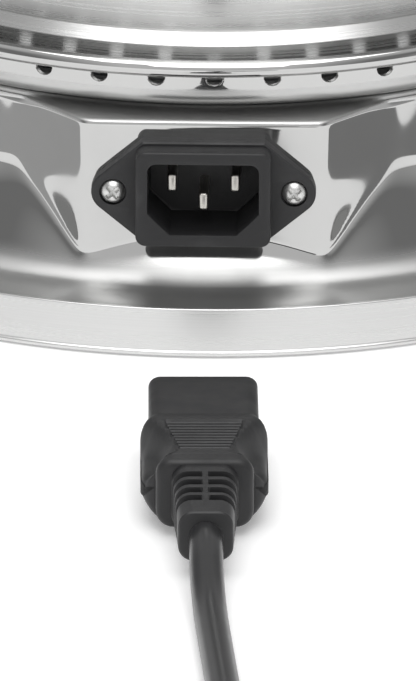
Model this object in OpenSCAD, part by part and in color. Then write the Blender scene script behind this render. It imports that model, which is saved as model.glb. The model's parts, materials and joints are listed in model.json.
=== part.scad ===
// Electric kettle: a lift-off kettle on a flared heating base, with a detached mains lead.
// Millimetres, +Z up. The origin is the middle of the base on the table. -Y is the inlet side,
// +Y is the control side, and the spout points along +X.

/* [Base] */
// Outside radius of the foot band
foot_r = 119; // [110:1:140]
// Height of the top edge of the foot band
foot_h = 11.5; // [10:0.5:16]
// Height of the flat top of the base
base_h = 50; // [48:1:60]
// Radius of the upright neck of the base
neck_r = 93.2; // [93:0.2:98]
// Lean of the flared skirt from upright, in degrees
flare_lean = 32; // [28:1:34]
// Thickness of the base's sheet steel
sheet = 1.2; // [0.8:0.1:1.5]
// Distance of the flat panels from the middle of the base
panel_y = 99.4; // [99:0.1:101]
// Half the width of a flat panel
panel_half = 27; // [26.5:0.5:30]

/* [Gallery ring] */
// Outside radius of the pierced band
band_r = 98.4; // [98:0.2:104]
// Number of vent holes round the band
vent_count = 48; // [24:4:56]
// Diameter of a vent hole
vent_d = 3.8; // [3:0.1:3.9]
// Radius of the rolled rim's section
rim_bead = 1.9; // [1.5:0.1:2.5]

/* [Mains inlet] */
// Height of the inlet's middle above the table
inlet_z = 32.9; // [32:0.1:35]
// Distance between the inlet's two screws
inlet_pitch = 40; // [40:0.1:40.1]
// Width of the inlet's front collar
collar_w = 29.8; // [29:0.1:31]
// Height of the inlet's front collar
collar_h = 22; // [21.5:0.1:22.5]
// Wall of the collar round the socket
collar_wall = 2.65; // [2:0.05:2.8]
// How far the collar stands out from the panel
collar_out = 8; // [6:0.5:10]

/* [Kettle] */
// Radius of the turned foot of the kettle
capsule_r = 90; // [88:0.5:92]
// Radius of the kettle's wall
vessel_r = 86.5; // [80:0.5:88]
// Height of the straight wall's top above the table
wall_top = 140; // [120:1:170]
// Height of the shoulder above the straight wall
shoulder_h = 36; // [30:1:45]
// Radius of the filling opening's collar
neck_in_r = 47; // [42:0.5:50]
// Thickness of the kettle's sheet steel
vessel_wall = 1; // [0.8:0.1:1.5]
// Radius of the handle's arch
arch_r = 66; // [62:1:70]
// Radius of the handle's rod
rod_r = 5; // [4:0.5:6]
// Radius of the handle's grip
grip_r = 10.5; // [9:0.5:13]

/* [Control] */
// Radius of the control knob
knob_r = 11; // [9:0.5:11.5]
// Radius of the spindle that the knob turns
spindle_r = 3; // [2.5:0.5:3.5]
// Running clearance round the spindle
running = 0.05; // [0.02:0.01:0.1]

/* [Lead] */
// Diameter of the cord
cord_d = 7.2; // [6:0.2:8]
// Width of the connector's mating part
mate_w = 23.6; // [23:0.1:23.8]
// Width of the connector's grip
grip_w = 27.3; // [25:0.1:30]

/* [Hidden] */
$fn = 96;
eps = 0.01;

// Base
band_wall = 1.6;
band_lift = 0.4;
bead_h = 1.3;
band_gap = 0.05;
ledge_r = foot_r - band_wall - band_gap;
ledge_z = foot_h - 0.1;
fillet_low = 7;
fillet_high = 14;
shoulder_r = 1.8;
flare_top = base_h - 15;
opening_r = 83;
boss_top = base_h - 0.8;
boss_back = neck_r * sin(64.2);
boss_half_back = neck_r * cos(64.2);
boss_low = ledge_z + 2.2;
plate_low = 3.2;
plate_t = 1.2;
foot_ring_r = ledge_r - 8.4;
foot_pad_r = 7.5;
screw_r = 1.5;
screw_hole_r = 1.7;

// Gallery ring
gasket_t = 1;
ring_z = base_h + gasket_t;
ring_bend = 4;
ring_wall = 1.2;
ring_in_r = 84;
band_z = ring_z + ring_bend;
rim_z = ring_z + 9.8;
rim_r = band_r + 1.1;
vent_z = ring_z + 7.2;
vent_turn = 1.3;
ring_screw_r = 88;
ring_screw_count = 4;
ring_screw_turn = 45;

// Heating plate and what hangs under it
plate_top = ring_z + 4;
plate_r = opening_r - 0.6;
plate_thick = 8;
plate_under = plate_top - plate_thick;
element_r = 58;
element_tube = 3.6;
element_z = plate_under - element_tube;
terminal_turns = [110, 70];
shield_t = 0.8;
shield_z = base_h - 12.4;
shield_r = opening_r + 1.4;
stud_ring_r = 40;
stud_r = 2;

// Inlet and its flange
flange_t = 3.2;
flange_w = 31;
flange_h = 23.4;
lobe_r = 4.8;
socket_w = collar_w - 2 * collar_wall;
socket_h = collar_h - 2 * collar_wall - 0.3;
socket_cut = 5;
socket_deep = 16;
body_w = 27.4;
body_h = 20.4;
body_back = 14.6;
inlet_front = panel_y + collar_out;
pin_pitch = 14;
pin_w = 2;
pin_h = 4;
pin_rise = 2;
pin_deep = 5.6;
inlet_head_r = 2.65;
inlet_head_h = 1.8;
pin_back = panel_y - body_back - 8;
earth_x = -30;
earth_y = -60;

// Control side
knob_z = 33.5;
knob_gap = 1;
knob_h = 13;
knob_back = panel_y + knob_gap;
bush_r = 5;
thermostat_front = panel_y - sheet - 0.2;
thermostat_deep = 30;
lamp_x = 20;
lamp_r = 3.6;

// Kettle
capsule_top = rim_z + rim_bead;
capsule_low = plate_top;
chamfer_top = capsule_top + 2.3;
capsule_edge = 0.6;
vessel_floor = capsule_top + 1;
shoulder_top = wall_top + shoulder_h;
collar_top = shoulder_top + 6;
collar_wall_t = 1.4;
spout_root = [vessel_r - 6, 0, 104];
spout_mid = [vessel_r + 18, 0, 124];
spout_tip = [vessel_r + 38, 0, 160];
spout_rs = [17, 12.5, 9];
spout_wall = 1.2;
strainer_r = 18;
strainer_t = 0.8;
grip_turn = 100;
bracket_w = 18;
bracket_h = 12;
rivet_r = 2;
arch_foot_z = shoulder_at(arch_r - rod_r) + 1;
arch_z = arch_foot_z + 24;

// Lid
lid_gap = 0.4;
lid_plug_r = neck_in_r - collar_wall_t - lid_gap;
lid_rim_r = neck_in_r + 1.6;
lid_z = collar_top + 0.2;
lid_rise = 13;
knob_stem_r = 5;
knob_ball_r = 12;
lid_knob_z = lid_z + lid_rise + 0.2;

// Lead: the middle of the connector's front, and how far the connector is turned on the table
lead_x = 1.7;
lead_turn = 1.9;
mate_front = -174;
mate_len = 23;
mate_h = 16;
grip_len = 21;
grip_h = 19.5;
tail_len = 6;
tail_w = 21.2;
tail_h = 15;
relief_r0 = 7.1;
relief_r1 = 5.8;
relief_in = 8;
relief_out = 24;
lead_z = grip_h / 2;
tail_end = mate_len + grip_len + tail_len;
coil_x = 60;
coil_y = -402;
coil_r = 5.5 * cord_d;
coil_half = cord_d;
tie_w = 8;
tie_t = 0.8;
plug_x = 13;
plug_y = -452;
plug_r = 18.5;
plug_z = 18.5;
plug_len = 36;
plug_relief_len = 24;
plug_front = plug_y + 18 - plug_relief_len;
plug_pin_pitch = 19;
plug_pin_r = 2.4;
plug_pin_in = 12;
plug_pin_out = 18;
clip_w = 6;

// The cord from the connector to the coil, and from the coil to the plug
cord_route = [
  [4.1, -246.2, 9.7], [4.2, -250, 9.6], [4.4, -255, 8.8], [4.6, -260, 7.5], [5, -266, 5.6],
  [5.5, -272, 4.2], [6, -278, 3.6], [6.7, -286, 3.6], [7.6, -296, 3.6], [8.6, -307, 3.6],
  [9.7, -319, 3.6], [11, -332, 3.6], [12.6, -346, 3.6], [14.2, -360, 3.6], [15.6, -374, 3.6],
  [16.6, -388, 3.6], [16.9, -402, 3.6]
];
tail_route = [
  [16.9, -402, 10.8], [16.7, -410, 11.4], [16, -418, 13], [15, -426, 15.2], [14, -433, 17.3],
  [13.2, -439, 18.3], [13, -443.8, 18.5]
];

// ---------- helpers ----------
function arc(cx, cz, r, a0, a1, n = 12) =
  [for (i = [0:n]) let (a = a0 + (a1 - a0) * i / n) [cx + r * cos(a), cz + r * sin(a)]];

// The outline of the skirt, from the neck down to the ledge, set in by w
function skirt_line(w) =
  let (
    top_c = neck_r + fillet_high,
    hx = top_c - fillet_high * cos(flare_lean),
    hz = flare_top - fillet_high * sin(flare_lean),
    lz = ledge_z + fillet_low * (1 - sin(flare_lean)),
    low_c = hx + (hz - lz) * tan(flare_lean) + fillet_low * cos(flare_lean)
  )
  concat(
    arc(neck_r - shoulder_r, base_h - shoulder_r, shoulder_r - w, 90, 0, 4),
    arc(top_c, flare_top, fillet_high + w, 180, 180 + flare_lean, 6),
    arc(low_c, ledge_z + fillet_low, fillet_low + w, 180 + flare_lean, 270, 8)
  );

// The point where the line from p touches a circle at c with radius r, on the side s
function touch(p, c, r, s) =
  let (d = norm(c - p), a = atan2(c[1] - p[1], c[0] - p[0]), b = asin(r / d))
  p + sqrt(d * d - r * r) * [cos(a + s * b), sin(a + s * b)];

module rounded_box(w, d, h, r) {
  linear_extrude(h) rounded_flat(w, d, r);
}

module rounded_flat(w, d, r) {
  square([w - 2 * r, d], center = true);
  square([w, d - 2 * r], center = true);
  for (x = [-1, 1], y = [-1, 1])
    translate([x * (w / 2 - r), y * (d / 2 - r)]) circle(r, $fn = 32);
}

// A copy at each of n places round the axis
module around(n, turn = 0) {
  for (i = [0:n - 1]) rotate([0, 0, turn + i * 360 / n]) children();
}

// Stands a flat outline on a panel: its x stays, its y becomes z, and it is raised towards -Y
module on_panel(y, h) {
  translate([0, -y, 0]) rotate([90, 0, 0]) linear_extrude(h) children();
}

// A tube swept along a route as one closed solid
function unit(v) = v / norm(v);
function heading(p, i) =
  unit(p[min(i + 1, len(p) - 1)] - p[max(i - 1, 0)]);
function tube_ring(p, i, r, n) =
  let (t = heading(p, i), u = unit(cross(t, [0, 0, 1])), v = cross(u, t))
  [for (k = [0:n - 1]) p[i] + r * (cos(360 * (k + 0.5) / n) * u + sin(360 * (k + 0.5) / n) * v)];

module swept(p, r, n = 8) {
  last = len(p) - 1;
  polyhedron(
    points = [for (i = [0:last]) each tube_ring(p, i, r, n)],
    faces = concat(
      [[for (k = [0:n - 1]) k]],
      [for (i = [0:last - 1], k = [0:n - 1]) let (a = i * n + k, b = i * n + (k + 1) % n)
        each [[a, a + n, b + n], [a, b + n, b]]],
      [[for (k = [n - 1:-1:0]) last * n + k]]
    )
  );
}

// Height of the shoulder's outside at a distance from the middle
function shoulder_at(r) =
  wall_top + shoulder_h * sqrt(1 - pow((r - neck_in_r + 1) / (vessel_r - neck_in_r + 1), 2));

// ---------- base ----------
module boss(w) {
  back = boss_half_back - 1.3 * w;
  front = panel_half - 0.5 * w;
  rise = boss_top - boss_low - 4 * w;
  translate([0, 0, boss_low + 3 * w])
    linear_extrude(rise)
      polygon([
        [-back, 10 - boss_back], [-back, -boss_back], [-front, w - panel_y],
        [front, w - panel_y], [back, -boss_back], [back, 10 - boss_back]
      ]);
}

module skirt_solid(w) {
  rotate_extrude($fn = 180)
    polygon(concat(
      [[0, base_h - w]],
      skirt_line(w),
      [[ledge_r, ledge_z - w], [ledge_r, ledge_z - sheet], [0, ledge_z - sheet]]
    ));
  for (turn = [0, 180]) rotate([0, 0, turn]) boss(w);
}

module inlet_holes(r) {
  for (x = [-1, 1])
    translate([x * inlet_pitch / 2, -panel_y + 6, inlet_z]) rotate([90, 0, 0]) cylinder(r = r, h = 12);
}

module base_skirt() {
  inner_line = [for (q = skirt_line(sheet)) if (q[1] > ledge_z - sheet + eps) q];
  inner_r = skirt_line(sheet)[len(skirt_line(sheet)) - 1][0];
  below = ledge_z - sheet - 5;
  color([0.86, 0.86, 0.86])
    difference() {
      skirt_solid(0);
      rotate_extrude($fn = 180)
        polygon(concat([[0, base_h - sheet]], inner_line, [[inner_r, below], [0, below]]));
      for (turn = [0, 180]) rotate([0, 0, turn]) boss(sheet);
      translate([0, 0, base_h - 5]) cylinder(r = opening_r, h = 10);
      around(ring_screw_count, ring_screw_turn)
        translate([ring_screw_r, 0, base_h - 5]) cylinder(r = screw_hole_r, h = 10);
      on_panel(panel_y - 6, 12) translate([0, inlet_z]) square([body_w + 0.4, body_h + 0.4], center = true);
      inlet_holes(screw_hole_r);
      translate([0, panel_y - 6, knob_z]) rotate([-90, 0, 0]) cylinder(r = bush_r + 0.2, h = 12);
      translate([-lamp_x, panel_y - 6, knob_z]) rotate([-90, 0, 0]) cylinder(r = lamp_r - 0.6, h = 12);
    }
}

module foot_band() {
  color([0.8, 0.8, 0.8])
    rotate_extrude($fn = 180)
      polygon(concat(
        [[foot_r - band_wall, band_lift], [foot_r - 0.5, band_lift]],
        [[foot_r, band_lift + 0.4], [foot_r, band_lift + bead_h - 0.4], [foot_r - 0.4, band_lift + bead_h]],
        arc(foot_r - 1.2, foot_h - 0.8, 0.8, 0, 90, 4),
        [[foot_r - band_wall, foot_h]]
      ));
}

module base_plate() {
  color([0.55, 0.55, 0.56])
    difference() {
      translate([0, 0, plate_low]) cylinder(r = ledge_r - 0.3, h = plate_t, $fn = 180);
      around(4, 45) translate([foot_ring_r, 0, 0]) cylinder(r = screw_hole_r, h = 10);
      around(6, 30) translate([50, 0, 0]) rounded_box(34, 5, 10, 2);
    }
}

module rubber_feet() {
  color([0.12, 0.12, 0.12])
    around(4, 45)
      translate([foot_ring_r, 0, 0])
        difference() {
          cylinder(r1 = foot_pad_r - 0.6, r2 = foot_pad_r, h = plate_low);
          translate([0, 0, -1]) cylinder(r = 3.4, h = 2.6);
          cylinder(r = screw_hole_r, h = 10);
        }
}

module foot_screws() {
  color([0.7, 0.7, 0.7])
    around(4, 45)
      translate([foot_ring_r, 0, 0])
        difference() {
          union() {
            translate([0, 0, 1]) cylinder(r = screw_r, h = plate_low + 4);
            translate([0, 0, 0.6]) cylinder(r = 2.8, h = 1);
          }
          translate([0, 0, 0.6]) cube([3, 0.6, 1], center = true);
        }
}

module foot_posts() {
  color([0.6, 0.6, 0.6])
    around(4, 45)
      translate([foot_ring_r, 0, plate_low + plate_t])
        difference() {
          cylinder(r = 4, h = ledge_z - sheet - plate_low - plate_t);
          translate([0, 0, -1]) cylinder(r = screw_r, h = 5.2);
        }
}

// ---------- gallery ring ----------
module gallery_ring() {
  color([0.84, 0.84, 0.84])
    rotate([0, 0, vent_turn])
      difference() {
        union() {
          rotate_extrude($fn = 180)
            polygon(concat(
              [[ring_in_r, ring_z]],
              arc(band_r - ring_bend, band_z, ring_bend, -90, 0, 6),
              [[band_r, rim_z], [band_r - ring_wall, rim_z]],
              arc(band_r - ring_bend, band_z, ring_bend - ring_wall, 0, -90, 6),
              [[ring_in_r, ring_z + ring_wall]]
            ));
          translate([0, 0, rim_z])
            rotate_extrude($fn = 180) translate([rim_r, 0]) circle(rim_bead, $fn = 32);
        }
        around(vent_count, -90)
          translate([band_r - 5, 0, vent_z]) rotate([0, 90, 0])
            cylinder(r = vent_d / 2, h = 10, $fn = 32);
        around(ring_screw_count, ring_screw_turn - vent_turn)
          translate([ring_screw_r, 0, ring_z - 5]) cylinder(r = screw_hole_r, h = 10);
      }
}

module ring_gasket() {
  color([0.06, 0.06, 0.06])
    difference() {
      translate([0, 0, base_h]) cylinder(r = neck_r - 0.6, h = gasket_t, $fn = 180);
      translate([0, 0, base_h - 1]) cylinder(r = ring_in_r, h = 4);
      around(ring_screw_count, ring_screw_turn)
        translate([ring_screw_r, 0, base_h - 5]) cylinder(r = screw_hole_r, h = 10);
    }
}

module ring_screws() {
  color([0.7, 0.7, 0.7])
    around(ring_screw_count, ring_screw_turn)
      translate([ring_screw_r, 0, 0]) {
        translate([0, 0, base_h - 5]) cylinder(r = screw_r, h = ring_z + ring_wall - base_h + 5);
        translate([0, 0, ring_z + ring_wall]) cylinder(r = 2.8, h = 1.6);
      }
}

module ring_nuts() {
  color([0.7, 0.7, 0.7])
    around(ring_screw_count, ring_screw_turn)
      translate([ring_screw_r, 0, base_h - sheet - shield_t - 2.4])
        difference() {
          cylinder(r = 3.1, h = 2.4, $fn = 6);
          translate([0, 0, -1]) cylinder(r = screw_r, h = 5);
        }
}

// ---------- heating parts ----------
module heating_plate() {
  color([0.72, 0.72, 0.73])
    difference() {
      translate([0, 0, plate_under]) cylinder(r = plate_r, h = plate_thick, $fn = 180);
      translate([0, 0, plate_top - 0.6])
        for (r = [25, 45, 65])
          difference() {
            cylinder(r = r + 0.8, h = 2);
            translate([0, 0, -1]) cylinder(r = r - 0.8, h = 4);
          }
      around(3)
        translate([stud_ring_r, 0, plate_under - 1]) cylinder(r = stud_r, h = 5);
    }
}

module heating_element() {
  color([0.35, 0.33, 0.32]) {
    translate([0, 0, element_z])
      rotate([0, 0, 110])
        rotate_extrude(angle = 320) translate([element_r, 0]) circle(element_tube, $fn = 32);
    for (turn = terminal_turns)
      rotate([0, 0, turn]) translate([element_r, 0, shield_z - 8])
        cylinder(r = element_tube, h = element_z - shield_z + 8);
  }
}

module heat_shield() {
  top = base_h - sheet;
  color([0.75, 0.76, 0.77])
    difference() {
      rotate_extrude($fn = 180)
        polygon([
          [0, shield_z], [shield_r, shield_z], [shield_r, top - shield_t], [neck_r - 2.2, top - shield_t],
          [neck_r - 2.2, top], [shield_r - shield_t, top], [shield_r - shield_t, shield_z + shield_t],
          [0, shield_z + shield_t]
        ]);
      around(ring_screw_count, ring_screw_turn)
        translate([ring_screw_r, 0, base_h - 8]) cylinder(r = screw_hole_r, h = 10);
      around(3)
        translate([stud_ring_r, 0, shield_z - 1]) cylinder(r = stud_r + 0.2, h = 5);
      for (turn = terminal_turns)
        rotate([0, 0, turn]) translate([element_r, 0, shield_z - 1])
          cylinder(r = element_tube + 1, h = 5);
    }
}

module plate_studs() {
  color([0.7, 0.7, 0.7])
    around(3)
      translate([stud_ring_r, 0, 0]) {
        translate([0, 0, shield_z - 5]) cylinder(r = stud_r, h = plate_under + 3.9 - shield_z + 5);
        translate([0, 0, shield_z + shield_t]) cylinder(r = 4, h = plate_under - shield_z - shield_t);
      }
}

module stud_nuts() {
  color([0.7, 0.7, 0.7])
    around(3)
      translate([stud_ring_r, 0, shield_z - 3.2])
        difference() {
          cylinder(r = 4, h = 3.2, $fn = 6);
          translate([0, 0, -1]) cylinder(r = stud_r, h = 6);
        }
}

module thermal_cutout() {
  color([0.8, 0.75, 0.6]) {
    translate([0, 0, plate_under - 5]) cylinder(r = 8, h = 5);
    for (y = [-1, 1]) translate([-3, y * 4 - 0.4, plate_under - 8]) cube([6, 0.8, 4]);
  }
}

module control_thermostat() {
  back = thermostat_front - thermostat_deep;
  color([0.85, 0.83, 0.76])
    difference() {
      union() {
        translate([-15, back, knob_z - 12]) cube([30, thermostat_deep, 12 + spindle_r + 0.7]);
        translate([0, thermostat_front - 1, knob_z]) rotate([-90, 0, 0])
          cylinder(r = bush_r, h = sheet + 4.2);
      }
      translate([0, thermostat_front - 22, knob_z]) rotate([-90, 0, 0])
        cylinder(r = spindle_r + running, h = 40);
    }
}

module thermostat_nut() {
  color([0.7, 0.7, 0.7])
    translate([0, panel_y, knob_z]) rotate([-90, 0, 0])
      difference() {
        cylinder(r = 7.5, h = 2.4, $fn = 6);
        translate([0, 0, -1]) cylinder(r = bush_r, h = 6);
      }
}

module control_knob() {
  color([0.1, 0.1, 0.1])
    translate([0, knob_back, knob_z]) rotate([-90, 0, 0])
      difference() {
        union() {
          cylinder(r = knob_r, h = knob_h - 1);
          translate([0, 0, knob_h - 1]) cylinder(r1 = knob_r, r2 = knob_r - 1, h = 1);
        }
        translate([0, 0, -1]) cylinder(r = 8.2, h = 4.6);
        translate([0, 0, -1]) cylinder(r = spindle_r, h = knob_h - 2);
        translate([-0.6, -knob_r, knob_h - 0.6]) cube([1.2, 6, 2]);
      }
}

module control_spindle() {
  color([0.7, 0.7, 0.7])
    translate([0, thermostat_front - 20, knob_z]) rotate([-90, 0, 0])
      cylinder(r = spindle_r, h = knob_back + knob_h - 3 - thermostat_front + 20);
}

module pilot_lens() {
  color([0.85, 0.3, 0.1])
    translate([-lamp_x, panel_y, knob_z]) rotate([-90, 0, 0]) {
      cylinder(r = lamp_r, h = 1.2);
      translate([0, 0, 1.2]) cylinder(r1 = lamp_r, r2 = lamp_r - 1.2, h = 0.8);
      translate([0, 0, -sheet]) cylinder(r = lamp_r - 0.8, h = sheet + eps);
    }
}

module pilot_holder() {
  color([0.2, 0.2, 0.2])
    translate([-lamp_x, panel_y - sheet - 14, knob_z]) rotate([-90, 0, 0]) cylinder(r = lamp_r + 0.8, h = 14);
}

// ---------- mains inlet ----------
module flange_flat() {
  w = flange_w / 2;
  h = flange_h / 2;
  c = inlet_pitch / 2;
  rounded_flat(flange_w, flange_h, 1.5);
  for (s = [-1, 1]) {
    top = touch([w - 0.6, h - 0.6], [c, 0], lobe_r, 1);
    polygon([[0, h - 0.6], [s * (w - 0.6), h - 0.6], [s * top[0], top[1]], [s * c, 0],
      [s * top[0], -top[1]], [s * (w - 0.6), 0.6 - h], [0, 0.6 - h]]);
    translate([s * c, 0]) circle(lobe_r);
  }
}

// The socket's outline: round top corners, and bottom corners cut off
module socket_flat(w, h, cut) {
  r = 2;
  polygon(concat(
    [[-w / 2, cut - h / 2], [cut - w / 2, -h / 2], [w / 2 - cut, -h / 2], [w / 2, cut - h / 2]],
    arc(w / 2 - r, h / 2 - r, r, 0, 90, 6),
    arc(r - w / 2, h / 2 - r, r, 90, 180, 6)
  ));
}

module inlet_housing() {
  back = panel_y - sheet;
  color([0.1, 0.1, 0.1])
    difference() {
      union() {
        translate([0, 0, inlet_z]) on_panel(panel_y, flange_t) flange_flat();
        translate([0, 0, inlet_z]) on_panel(panel_y, collar_out) rounded_flat(collar_w, collar_h, 2);
        translate([0, 0, inlet_z]) on_panel(panel_y - body_back, body_back + eps)
          square([body_w, body_h], center = true);
      }
      translate([0, 0, inlet_z]) on_panel(inlet_front - socket_deep, 30)
        socket_flat(socket_w, socket_h, socket_cut);
      inlet_holes(screw_hole_r);
      for (x = [-1, 1])
        translate([x * inlet_pitch / 2, -panel_y - flange_t + 1, inlet_z]) rotate([90, 0, 0])
          cylinder(r = inlet_head_r + 0.3, h = 5);
      for (x = [-1, 0, 1])
        translate([x * pin_pitch / 2, -panel_y, inlet_z + (x == 0 ? -pin_rise : pin_rise)])
          cube([pin_w, 60, pin_h], center = true);
    }
}

module inlet_pin(x, rise, more) {
  translate([x, 0, inlet_z + rise])
    translate([-pin_w / 2, pin_deep - inlet_front - more, -pin_h / 2])
      cube([pin_w, inlet_front - pin_deep + more - panel_y + body_back + 8, pin_h]);
}

module inlet_line_pin() { color([0.8, 0.8, 0.78]) inlet_pin(pin_pitch / 2, pin_rise, 0); }
module inlet_neutral_pin() { color([0.8, 0.8, 0.78]) inlet_pin(-pin_pitch / 2, pin_rise, 0); }
module inlet_earth_pin() { color([0.8, 0.8, 0.78]) inlet_pin(0, -pin_rise, 1); }

module inlet_screws() {
  seat = -panel_y - flange_t + 1;
  color([0.75, 0.75, 0.75])
    for (x = [-1, 1])
      translate([x * inlet_pitch / 2, seat, inlet_z]) rotate([90, 0, 0])
        difference() {
          union() {
            cylinder(r = inlet_head_r, h = inlet_head_h - 0.5);
            translate([0, 0, inlet_head_h - 0.5])
              cylinder(r1 = inlet_head_r, r2 = inlet_head_r - 0.7, h = 0.5);
            translate([0, 0, -9]) cylinder(r = screw_r, h = 9 + eps);
          }
          for (turn = [45, 135])
            rotate([0, 0, turn]) translate([0, 0, inlet_head_h]) cube([3.2, 0.8, 2], center = true);
        }
}

module inlet_nuts() {
  color([0.7, 0.7, 0.7])
    for (x = [-1, 1])
      translate([x * inlet_pitch / 2, -panel_y + sheet + 2.4, inlet_z]) rotate([90, 0, 0])
        difference() {
          cylinder(r = 3.1, h = 2.4, $fn = 6);
          translate([0, 0, -1]) cylinder(r = screw_r, h = 5);
        }
}

// ---------- internal wiring ----------
module earth_stud() {
  color([0.7, 0.7, 0.7])
    translate([earth_x, earth_y, plate_low + plate_t]) {
      cylinder(r = 2, h = 8);
      cylinder(r = 4, h = 2.4, $fn = 6);
    }
}

module line_wire() {
  color([0.45, 0.25, 0.1])
    swept([
      [pin_pitch / 2, -pin_back, inlet_z + pin_rise], [20, -60, 22], [30, 0, 16], [20, 50, 20],
      [8, thermostat_front - thermostat_deep, knob_z - 8]
    ], 1.2);
}

module neutral_wire() {
  color([0.15, 0.3, 0.6])
    swept([
      [-pin_pitch / 2, -pin_back, inlet_z + pin_rise], [-16, -60, 24], [-26, 0, 18], [-24, 40, 22],
      [element_r * cos(110), element_r * sin(110), shield_z - 8]
    ], 1.2);
}

module earth_wire() {
  color([0.3, 0.6, 0.2])
    swept([
      [0, -pin_back, inlet_z - pin_rise], [-12, -66, 16], [earth_x, earth_y, plate_low + plate_t + 9]
    ], 1.2);
}

// ---------- kettle ----------
module capsule_base() {
  color([0.78, 0.78, 0.78])
    rotate_extrude($fn = 180)
      polygon([
        [0, capsule_low], [capsule_r - capsule_edge, capsule_low], [capsule_r, capsule_low + capsule_edge],
        [capsule_r, capsule_top], [vessel_r + 0.5, chamfer_top], [vessel_r, chamfer_top],
        [vessel_r, vessel_floor - 1], [0, vessel_floor - 1]
      ]);
}

// The kettle's outside line, set in by w, from the floor to the filling opening
function vessel_line(w) =
  concat(
    [[vessel_r - w, vessel_floor - 1]],
    [for (i = [0:14]) let (a = 90 * i / 14)
      [neck_in_r - 1 - w + (vessel_r - neck_in_r + 1) * cos(a), wall_top + (shoulder_h - w) * sin(a)]]
  );

module vessel_solid(w) {
  rotate_extrude($fn = 180)
    polygon(concat([[0, vessel_floor - 1 + w]],
      [[vessel_r - w, vessel_floor - 1 + w]],
      [for (q = vessel_line(w)) if (q[1] > vessel_floor) q], [[0, shoulder_top - w]]));
}

module vessel_shell() {
  color([0.8, 0.8, 0.8])
    difference() {
      vessel_solid(0);
      vessel_solid(vessel_wall);
      translate([0, 0, shoulder_top - 4]) cylinder(r = neck_in_r, h = 10, $fn = 120);
      translate([0, 0, spout_root[2]]) rotate([0, 90, 0]) cylinder(r = spout_rs[0] - 3, h = 200);
    }
}

module spout_solid(w) {
  p = [spout_root, spout_mid, spout_tip];
  for (i = [0:1])
    hull() {
      for (k = [0, 1])
        translate(p[i + k]) rotate([0, [70, 45, 25][i + k], 0])
          cylinder(r = spout_rs[i + k] - w, h = 0.2 + 2 * w, center = true, $fn = 48);
    }
}

module spout() {
  color([0.8, 0.8, 0.8])
    difference() {
      spout_solid(0);
      spout_solid(spout_wall);
      translate([0, 0, spout_root[2] - 60]) cylinder(r = vessel_r, h = 120, $fn = 180);
    }
}

module spout_strainer() {
  color([0.75, 0.75, 0.75])
    difference() {
      translate([0, 0, spout_root[2]])
        intersection() {
          rotate([0, 90, 0]) cylinder(r = strainer_r, h = 200);
          difference() {
            translate([0, 0, -40]) cylinder(r = vessel_r - vessel_wall, h = 80, $fn = 180);
            translate([0, 0, -41]) cylinder(r = vessel_r - vessel_wall - strainer_t, h = 82, $fn = 180);
          }
        }
      for (y = [-2:2], z = [-2:2])
        translate([0, y * 4.6, spout_root[2] + z * 4.6]) rotate([0, 90, 0])
          cylinder(r = 1.4, h = 200, $fn = 16);
    }
}

module lid_collar() {
  color([0.82, 0.82, 0.82])
    rotate_extrude($fn = 120)
      polygon([
        [neck_in_r - collar_wall_t, shoulder_top - 4], [neck_in_r, shoulder_top - 4],
        [neck_in_r, collar_top], [neck_in_r - collar_wall_t, collar_top]
      ]);
}

module handle_brackets() {
  foot = shoulder_at(arch_r + 9);
  color([0.8, 0.8, 0.8])
    for (s = [0, 180])
      rotate([0, 0, s])
        difference() {
          translate([arch_r - 9, -bracket_w / 2, foot - 3])
            cube([18, bracket_w, arch_foot_z + bracket_h + 3 - foot]);
          vessel_solid(0);
          translate([arch_r, 0, arch_foot_z]) cylinder(r = rod_r, h = 40, $fn = 48);
        }
}

module bracket_rivets() {
  color([0.75, 0.75, 0.75])
    for (s = [-1, 1])
      translate([s * arch_r, 0, arch_foot_z + bracket_h / 2]) rotate([90, 0, 0])
        for (e = [0, 1]) mirror([0, 0, e])
          translate([0, 0, bracket_w / 2]) cylinder(r1 = rivet_r + 1, r2 = rivet_r, h = 1.2);
}

module handle_arch() {
  color([0.8, 0.8, 0.8]) {
    translate([0, 0, arch_z]) rotate([90, 0, 0])
      rotate_extrude(angle = 180) translate([arch_r, 0]) circle(rod_r, $fn = 48);
    for (s = [-1, 1])
      translate([s * arch_r, 0, arch_foot_z]) cylinder(r = rod_r, h = arch_z - arch_foot_z + eps, $fn = 48);
  }
}

module handle_grip() {
  color([0.1, 0.1, 0.1])
    translate([0, 0, arch_z]) rotate([90, 0, 0]) rotate([0, 0, 90 - grip_turn / 2])
      rotate_extrude(angle = grip_turn)
        translate([arch_r, 0])
          difference() {
            circle(grip_r, $fn = 48);
            circle(rod_r, $fn = 48);
          }
}

// ---------- lid ----------
module lid_shell() {
  dome = arc(0, 0, 1, 0, 90, 10);
  color([0.82, 0.82, 0.82])
    difference() {
      union() {
        rotate_extrude($fn = 120)
          polygon(concat(
            [[0, lid_z], [lid_rim_r, lid_z]],
            [for (q = dome) [q[0] * lid_rim_r, lid_z + 1.2 + q[1] * (lid_rise - 1.2)]]
          ));
        translate([0, 0, lid_z - 8]) cylinder(r = lid_plug_r - 1.4, h = 8 + eps);
      }
      rotate_extrude($fn = 120)
        polygon(concat(
          [[0, lid_z - 9], [lid_plug_r - 2.4, lid_z - 9], [lid_plug_r - 2.4, lid_z + 1.6]],
          [for (q = dome) if (q[1] > 0.05) [q[0] * (lid_plug_r - 2.4), lid_z + 1.6 + q[1] * (lid_rise - 2.8)]]
        ));
      translate([0, 0, lid_z]) cylinder(r = screw_hole_r, h = 30);
      translate([24, 0, lid_z]) cylinder(r = 1.2, h = 30);
    }
}

module lid_seal() {
  color([0.85, 0.85, 0.83])
    rotate_extrude($fn = 120)
      polygon([
        [lid_plug_r - 1.4, lid_z - 6.5], [lid_plug_r - 0.2, lid_z - 5.8], [lid_plug_r, lid_z - 5],
        [lid_plug_r - 0.2, lid_z - 4.2], [lid_plug_r - 1.4, lid_z - 3.5]
      ]);
}

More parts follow.
